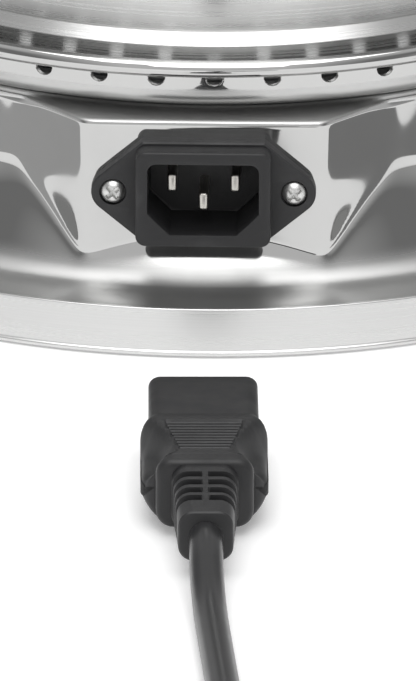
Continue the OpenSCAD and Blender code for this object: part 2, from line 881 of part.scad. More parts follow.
module lid_knob() {
  color([0.1, 0.1, 0.1])
    translate([0, 0, lid_knob_z - 0.2])
      difference() {
        union() {
          cylinder(r1 = knob_stem_r + 2, r2 = knob_stem_r, h = 5);
          translate([0, 0, 5]) cylinder(r1 = knob_stem_r, r2 = knob_ball_r, h = 5);
          translate([0, 0, 10]) cylinder(r = knob_ball_r, h = 4);
          translate([0, 0, 14]) cylinder(r1 = knob_ball_r, r2 = knob_ball_r - 4, h = 3);
        }
        translate([0, 0, -1]) cylinder(r = screw_r, h = 9);
      }
}

module lid_knob_screw() {
  color([0.75, 0.75, 0.75])
    translate([0, 0, lid_z + lid_rise]) {
      translate([0, 0, -3]) cylinder(r = screw_r, h = 10);
      translate([0, 0, -2.9]) cylinder(r = 2.8, h = 1.6);
    }
}

// ---------- lead ----------
// Puts a piece that is drawn along +Z at a distance behind the connector's front
module along_lead(back) {
  translate([lead_x, mate_front, lead_z])
    rotate([0, 0, lead_turn]) translate([0, -back, 0]) rotate([90, 0, 0]) children();
}

// The connector's three contact places, seen from its front
module at_contacts(back) {
  along_lead(back)
    for (x = [-1, 0, 1])
      translate([x * pin_pitch / 2, x == 0 ? -pin_rise : pin_rise, 0]) children();
}

module connector_body() {
  color([0.12, 0.12, 0.12])
    difference() {
      union() {
        along_lead(0) linear_extrude(mate_len + 2) socket_flat(mate_w, mate_h, 4.6);
        along_lead(mate_len) linear_extrude(grip_len) rounded_flat(grip_w, grip_h, 4);
        along_lead(mate_len + grip_len - eps) rounded_box(tail_w, tail_h, tail_len, 3.4);
      }
      at_contacts(-18) linear_extrude(36) square([2.6, 4.8], center = true);
      along_lead(tail_end - relief_in) cylinder(r = relief_r0, h = 40);
    }
}

module connector_contacts() {
  color([0.8, 0.7, 0.4])
    at_contacts(7)
      difference() {
        linear_extrude(10) square([2.6, 4.8], center = true);
        translate([0, 0, -1]) linear_extrude(8) square([2.1, 4.2], center = true);
      }
}

module connector_relief() {
  long = relief_in + relief_out;
  color([0.12, 0.12, 0.12])
    along_lead(tail_end - relief_in)
      difference() {
        cylinder(r1 = relief_r0, r2 = relief_r1, h = long);
        for (i = [0:3], s = [-1, 1])
          translate([s * 6, 0, long - 20 + 4 * i]) cube([10, 20, 1.4], center = true);
        translate([0, 0, long - 2]) cylinder(r = cord_d / 2 + 0.1, h = 4);
      }
}

module cord() {
  color([0.1, 0.1, 0.1]) {
    swept(cord_route, cord_d / 2);
    swept(tail_route, cord_d / 2);
  }
}

module cord_coil() {
  color([0.1, 0.1, 0.1])
    difference() {
      translate([coil_x, coil_y, 0])
        rotate_extrude($fn = 120)
          translate([coil_r - coil_half, 0]) square(2 * coil_half);
      translate([coil_x + coil_r - 20, coil_y - tie_w / 2, -1]) cube([40, tie_w, 1 + tie_t]);
    }
}

module cord_tie() {
  color([0.15, 0.15, 0.15])
    translate([coil_x + coil_r, coil_y, 0])
      difference() {
        translate([-coil_half - 2 * tie_t, -tie_w / 2, 0])
          cube([2 * coil_half + 4 * tie_t, tie_w, 2 * coil_half + 2 * tie_t]);
        translate([-coil_half - tie_t, -tie_w, tie_t])
          cube([2 * coil_half + 2 * tie_t, 2 * tie_w, 2 * coil_half - tie_t + 0.4]);
      }
}

module along_plug(y) {
  translate([plug_x, y, plug_z]) rotate([90, 0, 0]) children();
}

module plug_relief() {
  color([0.12, 0.12, 0.12])
    along_plug(plug_y + 10)
      difference() {
        cylinder(r1 = 4.8, r2 = 7, h = plug_relief_len);
        translate([0, 0, -1]) cylinder(r = cord_d / 2 + 0.1, h = 3);
      }
}

module plug_body() {
  color([0.12, 0.12, 0.12])
    along_plug(plug_front)
      difference() {
        union() {
          cylinder(r1 = 10, r2 = 16, h = 10);
          translate([0, 0, 10]) cylinder(r = 16, h = plug_len - 14);
          translate([0, 0, plug_len - 4]) cylinder(r = plug_r, h = 4);
        }
        translate([0, 0, -1]) cylinder(r = 7, h = 9);
        for (s = [-1, 1])
          translate([s * plug_pin_pitch / 2, 0, plug_len - plug_pin_in])
            cylinder(r = plug_pin_r - 0.2, h = 20, $fn = 32);
        for (s = [-1, 1])
          translate([0, s * (plug_r - 1.8), plug_len - 3]) cube([clip_w, 1.6, 12], center = true);
      }
}

module plug_pins() {
  color([0.8, 0.8, 0.78])
    along_plug(plug_front)
      for (s = [-1, 1])
        translate([s * plug_pin_pitch / 2, 0, plug_len]) {
          translate([0, 0, -plug_pin_in]) cylinder(r = plug_pin_r - 0.2, h = plug_pin_in, $fn = 32);
          cylinder(r = plug_pin_r, h = plug_pin_out, $fn = 32);
          translate([0, 0, plug_pin_out])
            cylinder(r1 = plug_pin_r, r2 = plug_pin_r - 1, h = 1, $fn = 32);
        }
}

module plug_earth_clips() {
  color([0.8, 0.8, 0.78])
    along_plug(plug_front)
      for (s = [-1, 1])
        translate([0, s * (plug_r - 1.8), plug_len - 4.5]) cube([clip_w, 1.6, 9], center = true);
}

base_skirt();
foot_band();
base_plate();
rubber_feet();
foot_screws();
foot_posts();
gallery_ring();
ring_gasket();
ring_screws();
ring_nuts();
heating_plate();
heating_element();
heat_shield();
plate_studs();
stud_nuts();
thermal_cutout();
control_thermostat();
thermostat_nut();
control_knob();
control_spindle();
pilot_lens();
pilot_holder();
inlet_housing();
inlet_line_pin();
inlet_neutral_pin();
inlet_earth_pin();
inlet_screws();
inlet_nuts();
earth_stud();
line_wire();
neutral_wire();
earth_wire();
capsule_base();
vessel_shell();
spout();
spout_strainer();
lid_collar();
handle_brackets();
bracket_rivets();
handle_arch();
handle_grip();
lid_shell();
lid_seal();
lid_knob();
lid_knob_screw();
connector_body();
connector_contacts();
connector_relief();
cord();
cord_coil();
cord_tie();
plug_relief();
plug_body();
plug_pins();
plug_earth_clips();
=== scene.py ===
"""Electric kettle: the visible pieces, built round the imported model.

Metres, in the same frame as the model: +Z up, -Y the inlet side, +Y the control side, +X the spout.
"""

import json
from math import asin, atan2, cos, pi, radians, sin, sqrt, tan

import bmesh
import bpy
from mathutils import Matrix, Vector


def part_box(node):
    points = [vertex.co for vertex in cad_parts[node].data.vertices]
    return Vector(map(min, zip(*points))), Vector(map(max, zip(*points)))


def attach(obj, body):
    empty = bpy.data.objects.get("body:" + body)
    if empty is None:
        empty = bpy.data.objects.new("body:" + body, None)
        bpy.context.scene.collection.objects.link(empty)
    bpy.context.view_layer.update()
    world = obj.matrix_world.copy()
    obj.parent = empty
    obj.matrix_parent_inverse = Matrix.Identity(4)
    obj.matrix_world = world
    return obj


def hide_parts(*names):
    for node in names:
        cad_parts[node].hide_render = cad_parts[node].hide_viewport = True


bl_info = {
    "name": "Electric kettle",
    "version": (1, 0, 0),
    "blender": (4, 5, 0),
    "location": "View3D > Sidebar > Kettle",
    "description": "Builds a lift-off kettle on its flared heating base, with the mains lead",
    "category": "Add Mesh",
}

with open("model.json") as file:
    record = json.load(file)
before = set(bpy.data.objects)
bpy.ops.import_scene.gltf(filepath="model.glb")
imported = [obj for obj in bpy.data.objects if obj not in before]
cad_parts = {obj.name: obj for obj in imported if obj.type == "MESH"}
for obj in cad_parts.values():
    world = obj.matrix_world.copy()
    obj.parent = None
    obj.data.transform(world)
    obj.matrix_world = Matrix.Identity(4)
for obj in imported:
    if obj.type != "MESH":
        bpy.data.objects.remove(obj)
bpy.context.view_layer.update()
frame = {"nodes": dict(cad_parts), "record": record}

MM = 0.001
NODES = frame["nodes"]
RECORD = frame["record"]
SLOT_OF = {row["node"]: row["material_slot"] for row in RECORD["subparts"]}
BODY_OF = {node: body for body, nodes in RECORD["behaviour"]["bodies"].items() for node in nodes}


def low(node):
    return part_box(node)[0]


def high(node):
    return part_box(node)[1]


def middle(node):
    return (low(node) + high(node)) / 2


# Sizes that the frame gives
FOOT_R = high("foot_band").x
BAND_LOW = low("foot_band").z
BAND_TOP = high("foot_band").z
BASE_TOP = high("base_skirt").z
LEDGE_R = high("base_skirt").x
LEDGE_Z = BAND_TOP - 0.1 * MM
PANEL_Y = low("thermostat_nut").y
NECK_R = high("ring_gasket").x + 0.6 * MM
RING_LOW = low("gallery_ring").z
RIM_TOP = high("gallery_ring").z
RIM_OUT = high("gallery_ring").x
INLET_Z = (low("inlet_housing").z + high("inlet_housing").z) / 2
INLET_FRONT = -low("inlet_housing").y
KNOB_Z = (low("control_knob").z + high("control_knob").z) / 2
FOOT_KETTLE_R = high("capsule_base").x
FOOT_KETTLE_LOW = low("capsule_base").z
VESSEL_R = high("vessel_shell").x
VESSEL_LOW = low("vessel_shell").z
VESSEL_TOP = high("vessel_shell").z
COLLAR_R = high("lid_collar").x
COLLAR_TOP = high("lid_collar").z
ROD_R = 5 * MM
ARCH_R = high("handle_arch").x - ROD_R
ARCH_LOW = low("handle_arch").z
ARCH_Z = high("handle_arch").z - ARCH_R - ROD_R
LID_Z = low("lid_shell").z + 8 * MM
LID_R = high("lid_shell").x
LID_TOP = high("lid_shell").z
LID_KNOB_LOW = low("lid_knob").z
LID_KNOB_TOP = high("lid_knob").z

# The base's section, as it is in the part
MIRROR_STEEL = (0.54, 0.54, 0.535)
VENTS = 48
SCREW_HEAD_R = 2.8 * MM
SHANK_R = 1.5 * MM
INLET_HEAD_H = 1.8 * MM
INLET_SCREW_X = 20 * MM
RING_FLOOR_R = 84 * MM
RING_SCREW_R = 88 * MM
OPENING_R = 83 * MM
SHOULDER_R = 1.8 * MM
NECK_LOW = BASE_TOP - 15 * MM
FILLET_HIGH = 14 * MM
FILLET_LOW = 7 * MM
FLARE_LEAN = radians(32)
BOSS_TOP = BASE_TOP - 0.8 * MM
BOSS_CORNER = Vector((27 * MM, PANEL_Y))
BOSS_BACK = Vector((NECK_R * cos(radians(64.2)), NECK_R * sin(radians(64.2))))

# The lead: where the connector's front is, and how the lead is turned on the table
LEAD_AT = Vector((1.7 * MM, -174 * MM, 9.75 * MM))
LEAD_TURN = radians(1.9)
NOSE_LEN = 23 * MM
BODY_LEN = 50 * MM
CORD_R = 3.6 * MM
CORD_ROUTE = [
    (4.1, -246.2, 9.7), (4.2, -250, 9.6), (4.4, -255, 8.8), (4.6, -260, 7.5), (5, -266, 5.6),
    (5.5, -272, 4.2), (6, -278, 3.6), (6.7, -286, 3.6), (7.6, -296, 3.6), (8.6, -307, 3.6),
    (9.7, -319, 3.6), (11, -332, 3.6), (12.6, -346, 3.6), (14.2, -360, 3.6), (15.6, -374, 3.6),
    (16.6, -388, 3.6), (16.9, -402, 3.6),
]
TAIL_ROUTE = [
    (16.9, -402, 10.8), (16.7, -410, 11.4), (16, -418, 13), (15, -426, 15.2), (14, -433, 17.3),
    (13.2, -439, 18.3), (13, -443.8, 18.5),
]
COIL_AT = (60 * MM, -402 * MM)
COIL_TURNS = 4


# ---------- outlines and meshes ----------
SHALLOW = 12


def arc(cx, cz, r, a0, a1, steps):
    """Points on a circle, from angle a0 to a1 in degrees."""
    turns = [radians(a0 + (a1 - a0) * i / steps) for i in range(steps + 1)]
    return [(cx + r * cos(a), cz + r * sin(a)) for a in turns]


def soften(outline, radius, steps=4):
    """A closed outline with its corners rounded. Corners that turn less than SHALLOW degrees stay."""
    out = []
    count = len(outline)
    for i, point in enumerate(outline):
        p = Vector(point)
        back = Vector(outline[i - 1]) - p
        on = Vector(outline[(i + 1) % count]) - p
        turn = pi - back.angle(on, pi)
        if degrees_of(turn) < SHALLOW or p.x < 1e-6:
            out.append(tuple(p))
            continue
        reach = min(radius * tan(turn / 2), 0.45 * back.length, 0.45 * on.length)
        a = p + back.normalized() * reach
        b = p + on.normalized() * reach
        for k in range(steps + 1):
            t = k / steps
            q = a * (1 - t) ** 2 + p * 2 * t * (1 - t) + b * t * t
            out.append(tuple(q))
    return out


def degrees_of(angle):
    return angle * 180 / pi


def smooth_step(t):
    t = min(1.0, max(0.0, t))
    return t * t * (3 - 2 * t)


def smooth_max(a, b, width):
    return (a + b + sqrt((a - b) ** 2 + width * width)) / 2


def smooth_min(a, b, width):
    return (a + b - sqrt((a - b) ** 2 + width * width)) / 2


def ring_faces(i, j, count):
    """The faces between the i-th and the j-th ring of count points."""
    return [(i * count + k, i * count + (k + 1) % count, j * count + (k + 1) % count, j * count + k)
            for k in range(count)]


def tube_faces(rows, count):
    """The faces of a closed tube: the sides between its rings, and its two ends."""
    faces = [face for i in range(rows - 1) for face in ring_faces(i, i + 1, count)]
    faces.append(tuple(range(count)))
    faces.append(tuple((rows - 1) * count + k for k in reversed(range(count))))
    return faces


def turned_faces(segments, count, start=0):
    """The faces between the columns of a turned sheet, each count points long."""
    faces = []
    for i in range(segments):
        a, b = start + i * count, start + (i + 1) % segments * count
        faces += [(a + k, b + k, b + k + 1, a + k + 1) for k in range(count - 1)]
    return faces


def add_object(name, data):
    piece = bpy.data.objects.new(name, data)
    bpy.context.scene.collection.objects.link(piece)
    return piece


def transform(piece, *steps):
    """Applies the matrices to a piece's mesh, the last one first."""
    whole = Matrix()
    for step in steps:
        whole = whole @ step
    piece.data.transform(whole)
    return piece


def spin(angle, axis="Z"):
    return Matrix.Rotation(angle, 4, axis)


def shade(mesh, angle=32):
    mesh.shade_smooth()
    mesh.set_sharp_from_angle(angle=radians(angle))


def make_object(name, verts, faces, closed=True):
    """An object from points and faces, with its doubles merged and its faces turned outwards."""
    mesh = bpy.data.meshes.new(name)
    mesh.from_pydata([tuple(v) for v in verts], [], faces)
    bm = bmesh.new()
    bm.from_mesh(mesh)
    bmesh.ops.remove_doubles(bm, verts=bm.verts, dist=1e-6)
    bmesh.ops.dissolve_degenerate(bm, edges=bm.edges, dist=1e-7)
    if closed:
        bmesh.ops.recalc_face_normals(bm, faces=bm.faces)
    bm.to_mesh(mesh)
    bm.free()
    shade(mesh)
    return add_object(name, mesh)


def bake(piece, angle=32):
    """Turns what the modifiers give into the piece's own mesh."""
    bpy.context.view_layer.update()
    graph = bpy.context.evaluated_depsgraph_get()
    mesh = bpy.data.meshes.new_from_object(piece.evaluated_get(graph))
    piece.modifiers.clear()
    piece.data = mesh
    shade(mesh, angle)
    return piece


def cut_away(piece, drill, angle=32):
    """Cuts the drill's shape out of a piece, and uses the drill up."""
    cut = piece.modifiers.new("Cut", "BOOLEAN")
    cut.operation = "DIFFERENCE"
    cut.object = drill
    bake(piece, angle)
    bpy.data.objects.remove(drill)


def place(piece, *nodes, body=None, slot=None, material=None):
    """Gives a piece its finish and its body, and lets it stand for CAD nodes."""
    first = nodes[0] if nodes else None
    slot = slot or SLOT_OF[first]
    body = body or BODY_OF[first]
    if piece.type == "CURVE" or not piece.data.materials:
        piece.data.materials.append(finish(slot) if material is None else material)
    if nodes:
        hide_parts(*nodes)
    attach(piece, body)
    return piece


def lathe(name, outline, segments=192):
    """A closed outline of (radius, height) turned about the upright axis."""
    count = len(outline)
    verts = []
    for i in range(segments):
        a = 2 * pi * i / segments
        verts += [(r * cos(a), r * sin(a), z) for r, z in outline]
    faces = []
    for i in range(segments):
        j = (i + 1) % segments
        for k in range(count):
            m = (k + 1) % count
            if outline[k][0] < 1e-7 and outline[m][0] < 1e-7:
                continue
            faces.append((i * count + k, j * count + k, j * count + m, i * count + m))
    return make_object(name, verts, faces)


def rod(name, radius, start, end, segments):
    """A solid round bar about the upright axis."""
    return lathe(name, [(0, start), (radius, start), (radius, end), (0, end)], segments)


def swing(piece, origin, axis="Y"):
    """Turns a piece drawn along +Z so that it points along +Y or -Y, and moves it to origin."""
    angle = -pi / 2 if axis == "Y" else pi / 2
    return transform(piece, Matrix.Translation(origin), spin(angle, "X"))


def sweep(name, path, radii, sides):
    """A closed round bar along a path, with a radius at each point."""
    last = len(path) - 1
    up = Vector((0, 1, 0))
    verts = []
    for i, p in enumerate(path):
        ahead = (path[min(i + 1, last)] - path[max(i - 1, 0)]).normalized()
        side = ahead.cross(up).normalized()
        for k in range(sides):
            a = 2 * pi * k / sides
            verts.append(p + side * (radii[i] * cos(a)) + up * (radii[i] * sin(a)))
    return make_object(name, verts, tube_faces(len(path), sides))


def dressed(node, edge, steps=2):
    """A copy of a CAD node with its flat triangles joined up and its edges broken by edge mm."""
    mesh = NODES[node].data.copy()
    mesh.name = node + "_dressed"
    mesh.materials.clear()
    bm = bmesh.new()
    bm.from_mesh(mesh)
    bmesh.ops.remove_doubles(bm, verts=bm.verts, dist=2e-6)
    bmesh.ops.dissolve_limit(bm, angle_limit=radians(1), verts=bm.verts, edges=bm.edges)
    bm.to_mesh(mesh)
    bm.free()
    piece = add_object(node + "_dressed", mesh)
    if edge:
        bevel = piece.modifiers.new("Broken edges", "BEVEL")
        bevel.width = edge * MM
        bevel.segments = steps
        bevel.limit_method = "ANGLE"
        bevel.angle_limit = radians(38)
    bake(piece)
    return place(piece, node)


# ---------- shader groups ----------
def new_group(name, sockets_in, sockets_out):
    tree = bpy.data.node_groups.new(name, "ShaderNodeTree")
    for label, value in sockets_in:
        socket = tree.interface.new_socket(label, in_out="INPUT", socket_type="NodeSocketFloat")
        socket.default_value = value
    for label in sockets_out:
        tree.interface.new_socket(label, in_out="OUTPUT", socket_type="NodeSocketFloat")
    return tree, tree.nodes.new("NodeGroupInput"), tree.nodes.new("NodeGroupOutput")


def feed(tree, socket, value):
    """Sets a socket to a plain number, or links an output to it."""
    if isinstance(value, (int, float)):
        socket.default_value = value
    else:
        tree.links.new(value, socket)


def object_point(tree):
    return tree.nodes.new("ShaderNodeTexCoord").outputs["Object"]


def split(tree, vector):
    parts = tree.nodes.new("ShaderNodeSeparateXYZ")
    tree.links.new(vector, parts.inputs[0])
    return parts.outputs


def math_node(tree, operation, a, b=None, clamp=False):
    node = tree.nodes.new("ShaderNodeMath")
    node.operation = operation
    node.use_clamp = clamp
    for socket, value in zip(node.inputs, (a, b)):
        if value is not None:
            feed(tree, socket, value)
    return node.outputs[0]


def noise_node(tree, vector, scale, detail):
    node = tree.nodes.new("ShaderNodeTexNoise")
    node.inputs["Detail"].default_value = detail
    tree.links.new(vector, node.inputs["Vector"])
    feed(tree, node.inputs["Scale"], scale)
    return node.outputs["Fac"]


def spread(tree, value, low_in, high_in, low_out, high_out):
    node = tree.nodes.new("ShaderNodeMapRange")
    tree.links.new(value, node.inputs["Value"])
    for label, number in (("From Min", low_in), ("From Max", high_in), ("To Min", low_out),
                          ("To Max", high_out)):
        feed(tree, node.inputs[label], number)
    return node.outputs["Result"]


def turned_lines_group():
    """Fine lines round the upright axis, as a lathe or a brushing wheel leaves them."""
    tree, gin, gout = new_group("Turned lines", [("Lines", 2500.0), ("Breaks", 6.0)], ["Value"])
    x, y, z = split(tree, object_point(tree))
    radius = math_node(tree, "SQRT", math_node(tree, "ADD", math_node(tree, "MULTIPLY", x, x),
                                               math_node(tree, "MULTIPLY", y, y)))
    along = math_node(tree, "ADD", radius, z)
    across = math_node(tree, "SUBTRACT", z, radius)
    joined = tree.nodes.new("ShaderNodeCombineXYZ")
    tree.links.new(math_node(tree, "MULTIPLY", along, gin.outputs["Lines"]), joined.inputs[0])
    tree.links.new(math_node(tree, "MULTIPLY", across, gin.outputs["Lines"]), joined.inputs[1])
    tree.links.new(math_node(tree, "MULTIPLY", x, gin.outputs["Breaks"]), joined.inputs[2])
    lines = noise_node(tree, joined.outputs[0], 1.0, 3.0)
    tree.links.new(lines, gout.inputs["Value"])
    return tree


def handling_group():
    """Faint smears and a gentle unevenness, as handling leaves on polished metal."""
    tree, gin, gout = new_group("Handling", [("Size", 60.0)], ["Smear", "Wave"])
    spot = object_point(tree)
    smear = noise_node(tree, spot, gin.outputs["Size"], 5.0)
    tree.links.new(spread(tree, smear, 0.45, 0.75, 0.0, 1.0), gout.inputs["Smear"])
    tree.links.new(noise_node(tree, spot, math_node(tree, "MULTIPLY", gin.outputs["Size"], 1.6), 1.0),
                   gout.inputs["Wave"])
    return tree


def moulded_skin_group():
    """The fine spark texture of a moulded surface, with a slow change of sheen over it."""
    tree, gin, gout = new_group("Moulded skin", [("Grain", 2600.0)], ["Height", "Sheen"])
    spot = object_point(tree)
    tree.links.new(noise_node(tree, spot, gin.outputs["Grain"], 2.0), gout.inputs["Height"])
    tree.links.new(noise_node(tree, spot, 140.0, 4.0), gout.inputs["Sheen"])
    return tree


def rubbed_edges_group():
    """A mask of the convex edges, which rub bright or pale first."""
    tree, gin, gout = new_group("Rubbed edges", [("Start", 0.53), ("Full", 0.62)], ["Mask"])
    shape = tree.nodes.new("ShaderNodeNewGeometry")
    ragged = noise_node(tree, object_point(tree), 900.0, 3.0)
    edge = spread(tree, shape.outputs["Pointiness"], gin.outputs["Start"], gin.outputs["Full"], 0.0, 1.0)
    tree.links.new(math_node(tree, "MULTIPLY", edge, ragged, clamp=True), gout.inputs["Mask"])
    return tree


GROUPS = {}
GROUP_MAKERS = {
    "turned_lines": turned_lines_group,
    "handling": handling_group,
    "moulded_skin": moulded_skin_group,
    "rubbed_edges": rubbed_edges_group,
}


def use_group(tree, name, **values):
    if name not in GROUPS:
        GROUPS[name] = GROUP_MAKERS[name]()
    node = tree.nodes.new("ShaderNodeGroup")
    node.node_tree = GROUPS[name]
    for label, value in values.items():
        node.inputs[label].default_value = value
    return node


# ---------- materials ----------
def new_material(name, colour, metallic, roughness, **constants):
    material = bpy.data.materials.new(name)
    material.use_nodes = True
    tree = material.node_tree
    shader = tree.nodes["Principled BSDF"]
    shader.inputs["Base Color"].default_value = (*colour, 1)
    shader.inputs["Metallic"].default_value = metallic
    shader.inputs["Roughness"].default_value = roughness
    for label, value in constants.items():
        shader.inputs[label.replace("_", " ")].default_value = value
    return material, tree, shader


def raise_by(tree, shader, height, depth):
    """Fine relief in the surface, depth metres deep."""
    bump = tree.nodes.new("ShaderNodeBump")
    bump.inputs["Distance"].default_value = depth
    tree.links.new(height, bump.inputs["Height"])
    tree.links.new(bump.outputs[0], shader.inputs["Normal"])


def roughen(tree, shader, mask, smooth, rough):
    """Roughness that runs from smooth to rough over the middle of a noise mask."""
    tree.links.new(spread(tree, mask, 0.3, 0.7, smooth, rough), shader.inputs["Roughness"])


def scaled(colour, by):
    return tuple(min(1, by * c) for c in colour)


def tint(tree, shader, mask, colour_a, colour_b):
    mix = tree.nodes.new("ShaderNodeMix")
    mix.data_type = "RGBA"
    tree.links.new(mask, mix.inputs["Factor"])
    mix.inputs["A"].default_value = (*colour_a, 1)
    mix.inputs["B"].default_value = (*colour_b, 1)
    tree.links.new(mix.outputs["Result"], shader.inputs["Base Color"])


def polished_metal(name, dull=()):
    """Mirror-polished metal with faint smears.

    Each row of dull is a start height, an end height, and the roughness added at each of them.
    """
    roughness = 0.035
    material, tree, shader = new_material(name, MIRROR_STEEL, 1.0, roughness)
    touch = use_group(tree, "handling", Size=45.0)
    rough = spread(tree, touch.outputs["Smear"], 0, 1, roughness, roughness + 0.06)
    for start, end, more_start, more_end in dull:
        height = split(tree, object_point(tree))["Z"]
        rough = math_node(tree, "ADD", rough, spread(tree, height, start, end, more_start, more_end))
    tree.links.new(rough, shader.inputs["Roughness"])
    tint(tree, shader, touch.outputs["Smear"], MIRROR_STEEL, scaled(MIRROR_STEEL, 0.94))
    raise_by(tree, shader, touch.outputs["Wave"], 0.000012)
    return material


def turned_metal(name, colour, roughness, lines, depth, anisotropy):
    """Metal with fine lines round the upright axis."""
    material, tree, shader = new_material(name, colour, 1.0, roughness, Anisotropic=anisotropy,
                                          Anisotropic_Rotation=0.25)
    tangent = tree.nodes.new("ShaderNodeTangent")
    tangent.direction_type = "RADIAL"
    tangent.axis = "Z"
    tree.links.new(tangent.outputs[0], shader.inputs["Tangent"])
    grain = use_group(tree, "turned_lines", Lines=lines)
    roughen(tree, shader, grain.outputs["Value"], roughness - 0.06, roughness + 0.08)
    tint(tree, shader, grain.outputs["Value"], scaled(colour, 0.9), scaled(colour, 1.06))
    raise_by(tree, shader, grain.outputs["Value"], depth)
    return material


def plated_metal(name, colour, roughness):
    """Plated or cast metal with a soft, cloudy sheen."""
    material, tree, shader = new_material(name, colour, 1.0, roughness)
    skin = use_group(tree, "moulded_skin", Grain=1500.0)
    roughen(tree, shader, skin.outputs["Sheen"], roughness - 0.08, roughness + 0.1)
    tint(tree, shader, skin.outputs["Sheen"], scaled(colour, 0.85), colour)
    raise_by(tree, shader, skin.outputs["Height"], 0.00001)
    return material


def moulded(name, colour, roughness, depth=0.00003, grain=2600.0, coat=0.0, sheen=0.07):
    """Moulded plastic or rubber: spark texture, uneven sheen and pale rubbed edges."""
    material, tree, shader = new_material(name, colour, 0.0, roughness, Coat_Weight=coat)
    skin = use_group(tree, "moulded_skin", Grain=grain)
    edges = use_group(tree, "rubbed_edges")
    roughen(tree, shader, skin.outputs["Sheen"], roughness - sheen, roughness + sheen)
    tint(tree, shader, edges.outputs["Mask"], colour, tuple(min(1, c * 1.6 + 0.015) for c in colour))
    raise_by(tree, shader, skin.outputs["Height"], depth)
    return material


def lens(name, colour):
    """Clear tinted plastic with a cloudy sheen."""
    material, tree, shader = new_material(name, colour, 0.0, 0.12, Transmission_Weight=0.6, IOR=1.49)
    skin = use_group(tree, "moulded_skin", Grain=500.0)
    roughen(tree, shader, skin.outputs["Sheen"], 0.08, 0.2)
    tint(tree, shader, skin.outputs["Sheen"], colour, scaled(colour, 0.8))
    return material


FINISHES = {
    "polished_steel": polished_metal,
    "satin_steel": lambda n: turned_metal(n, (0.68, 0.68, 0.675), 0.3, 2600.0, 0.000006, 0.6),
    "turned_steel": lambda n: turned_metal(n, (0.66, 0.66, 0.655), 0.28, 1500.0, 0.000005, 0.9),
    "zinc_steel": lambda n: plated_metal(n, (0.62, 0.62, 0.63), 0.42),
    "bright_fastener": lambda n: plated_metal(n, (0.74, 0.74, 0.73), 0.36),
    "cast_aluminium": lambda n: turned_metal(n, (0.7, 0.7, 0.71), 0.4, 1200.0, 0.00004, 0.4),
    "element_sheath": lambda n: plated_metal(n, (0.2, 0.19, 0.18), 0.5),
    "black_plastic": lambda n: moulded(n, (0.014, 0.014, 0.015), 0.48),
    "black_phenolic": lambda n: moulded(n, (0.012, 0.012, 0.012), 0.3, 0.00001, coat=0.25),
    "cream_plastic": lambda n: moulded(n, (0.74, 0.7, 0.58), 0.5),
    "amber_lens": lambda n: lens(n, (0.85, 0.3, 0.05)),
    "black_rubber": lambda n: moulded(n, (0.02, 0.02, 0.02), 0.7, 0.00004),
    "white_silicone": lambda n: moulded(n, (0.8, 0.8, 0.77), 0.45, 0.00001),
    "nickel_contact": lambda n: plated_metal(n, (0.62, 0.6, 0.56), 0.3),
    "brass_contact": lambda n: plated_metal(n, (0.75, 0.55, 0.25), 0.24),
    "brown_wire": lambda n: moulded(n, (0.2, 0.08, 0.03), 0.4),
    "blue_wire": lambda n: moulded(n, (0.03, 0.1, 0.4), 0.4),
    "green_wire": lambda n: moulded(n, (0.2, 0.42, 0.04), 0.4),
    "black_cord": lambda n: moulded(n, (0.02, 0.02, 0.021), 0.3, 0.000004, 1400.0, sheen=0.02),
}
MADE = {}


def finish(slot):
    if slot not in MADE:
        MADE[slot] = FINISHES[slot](slot)
    return MADE[slot]


def finish_nodes():
    """Gives every carried-over CAD node the finish of its slot."""
    for node, piece in NODES.items():
        if not piece.data.materials:
            piece.data.materials.append(finish(SLOT_OF[node]))
        for socket in piece.material_slots:
            socket.material = finish(SLOT_OF[node])


# ---------- geometry node trees ----------
def geometry_tree(name, inputs):
    tree = bpy.data.node_groups.new(name, "GeometryNodeTree")
    tree.interface.new_socket("Geometry", in_out="OUTPUT", socket_type="NodeSocketGeometry")
    tree.interface.new_socket("Geometry", in_out="INPUT", socket_type="NodeSocketGeometry")
    for label, kind in inputs:
        tree.interface.new_socket(label, in_out="INPUT", socket_type="NodeSocket" + kind)
    return tree, tree.nodes.new("NodeGroupInput"), tree.nodes.new("NodeGroupOutput")


def run_tree(host, tree, values):
    """Runs a tree on an object with its inputs set by identifier, and keeps what it makes."""
    modifier = host.modifiers.new(tree.name, "NODES")
    modifier.node_group = tree
    for item in tree.interface.items_tree:
        if item.item_type == "SOCKET" and item.in_out == "INPUT" and item.name in values:
            modifier[item.identifier] = values[item.name]
    return bake(host)


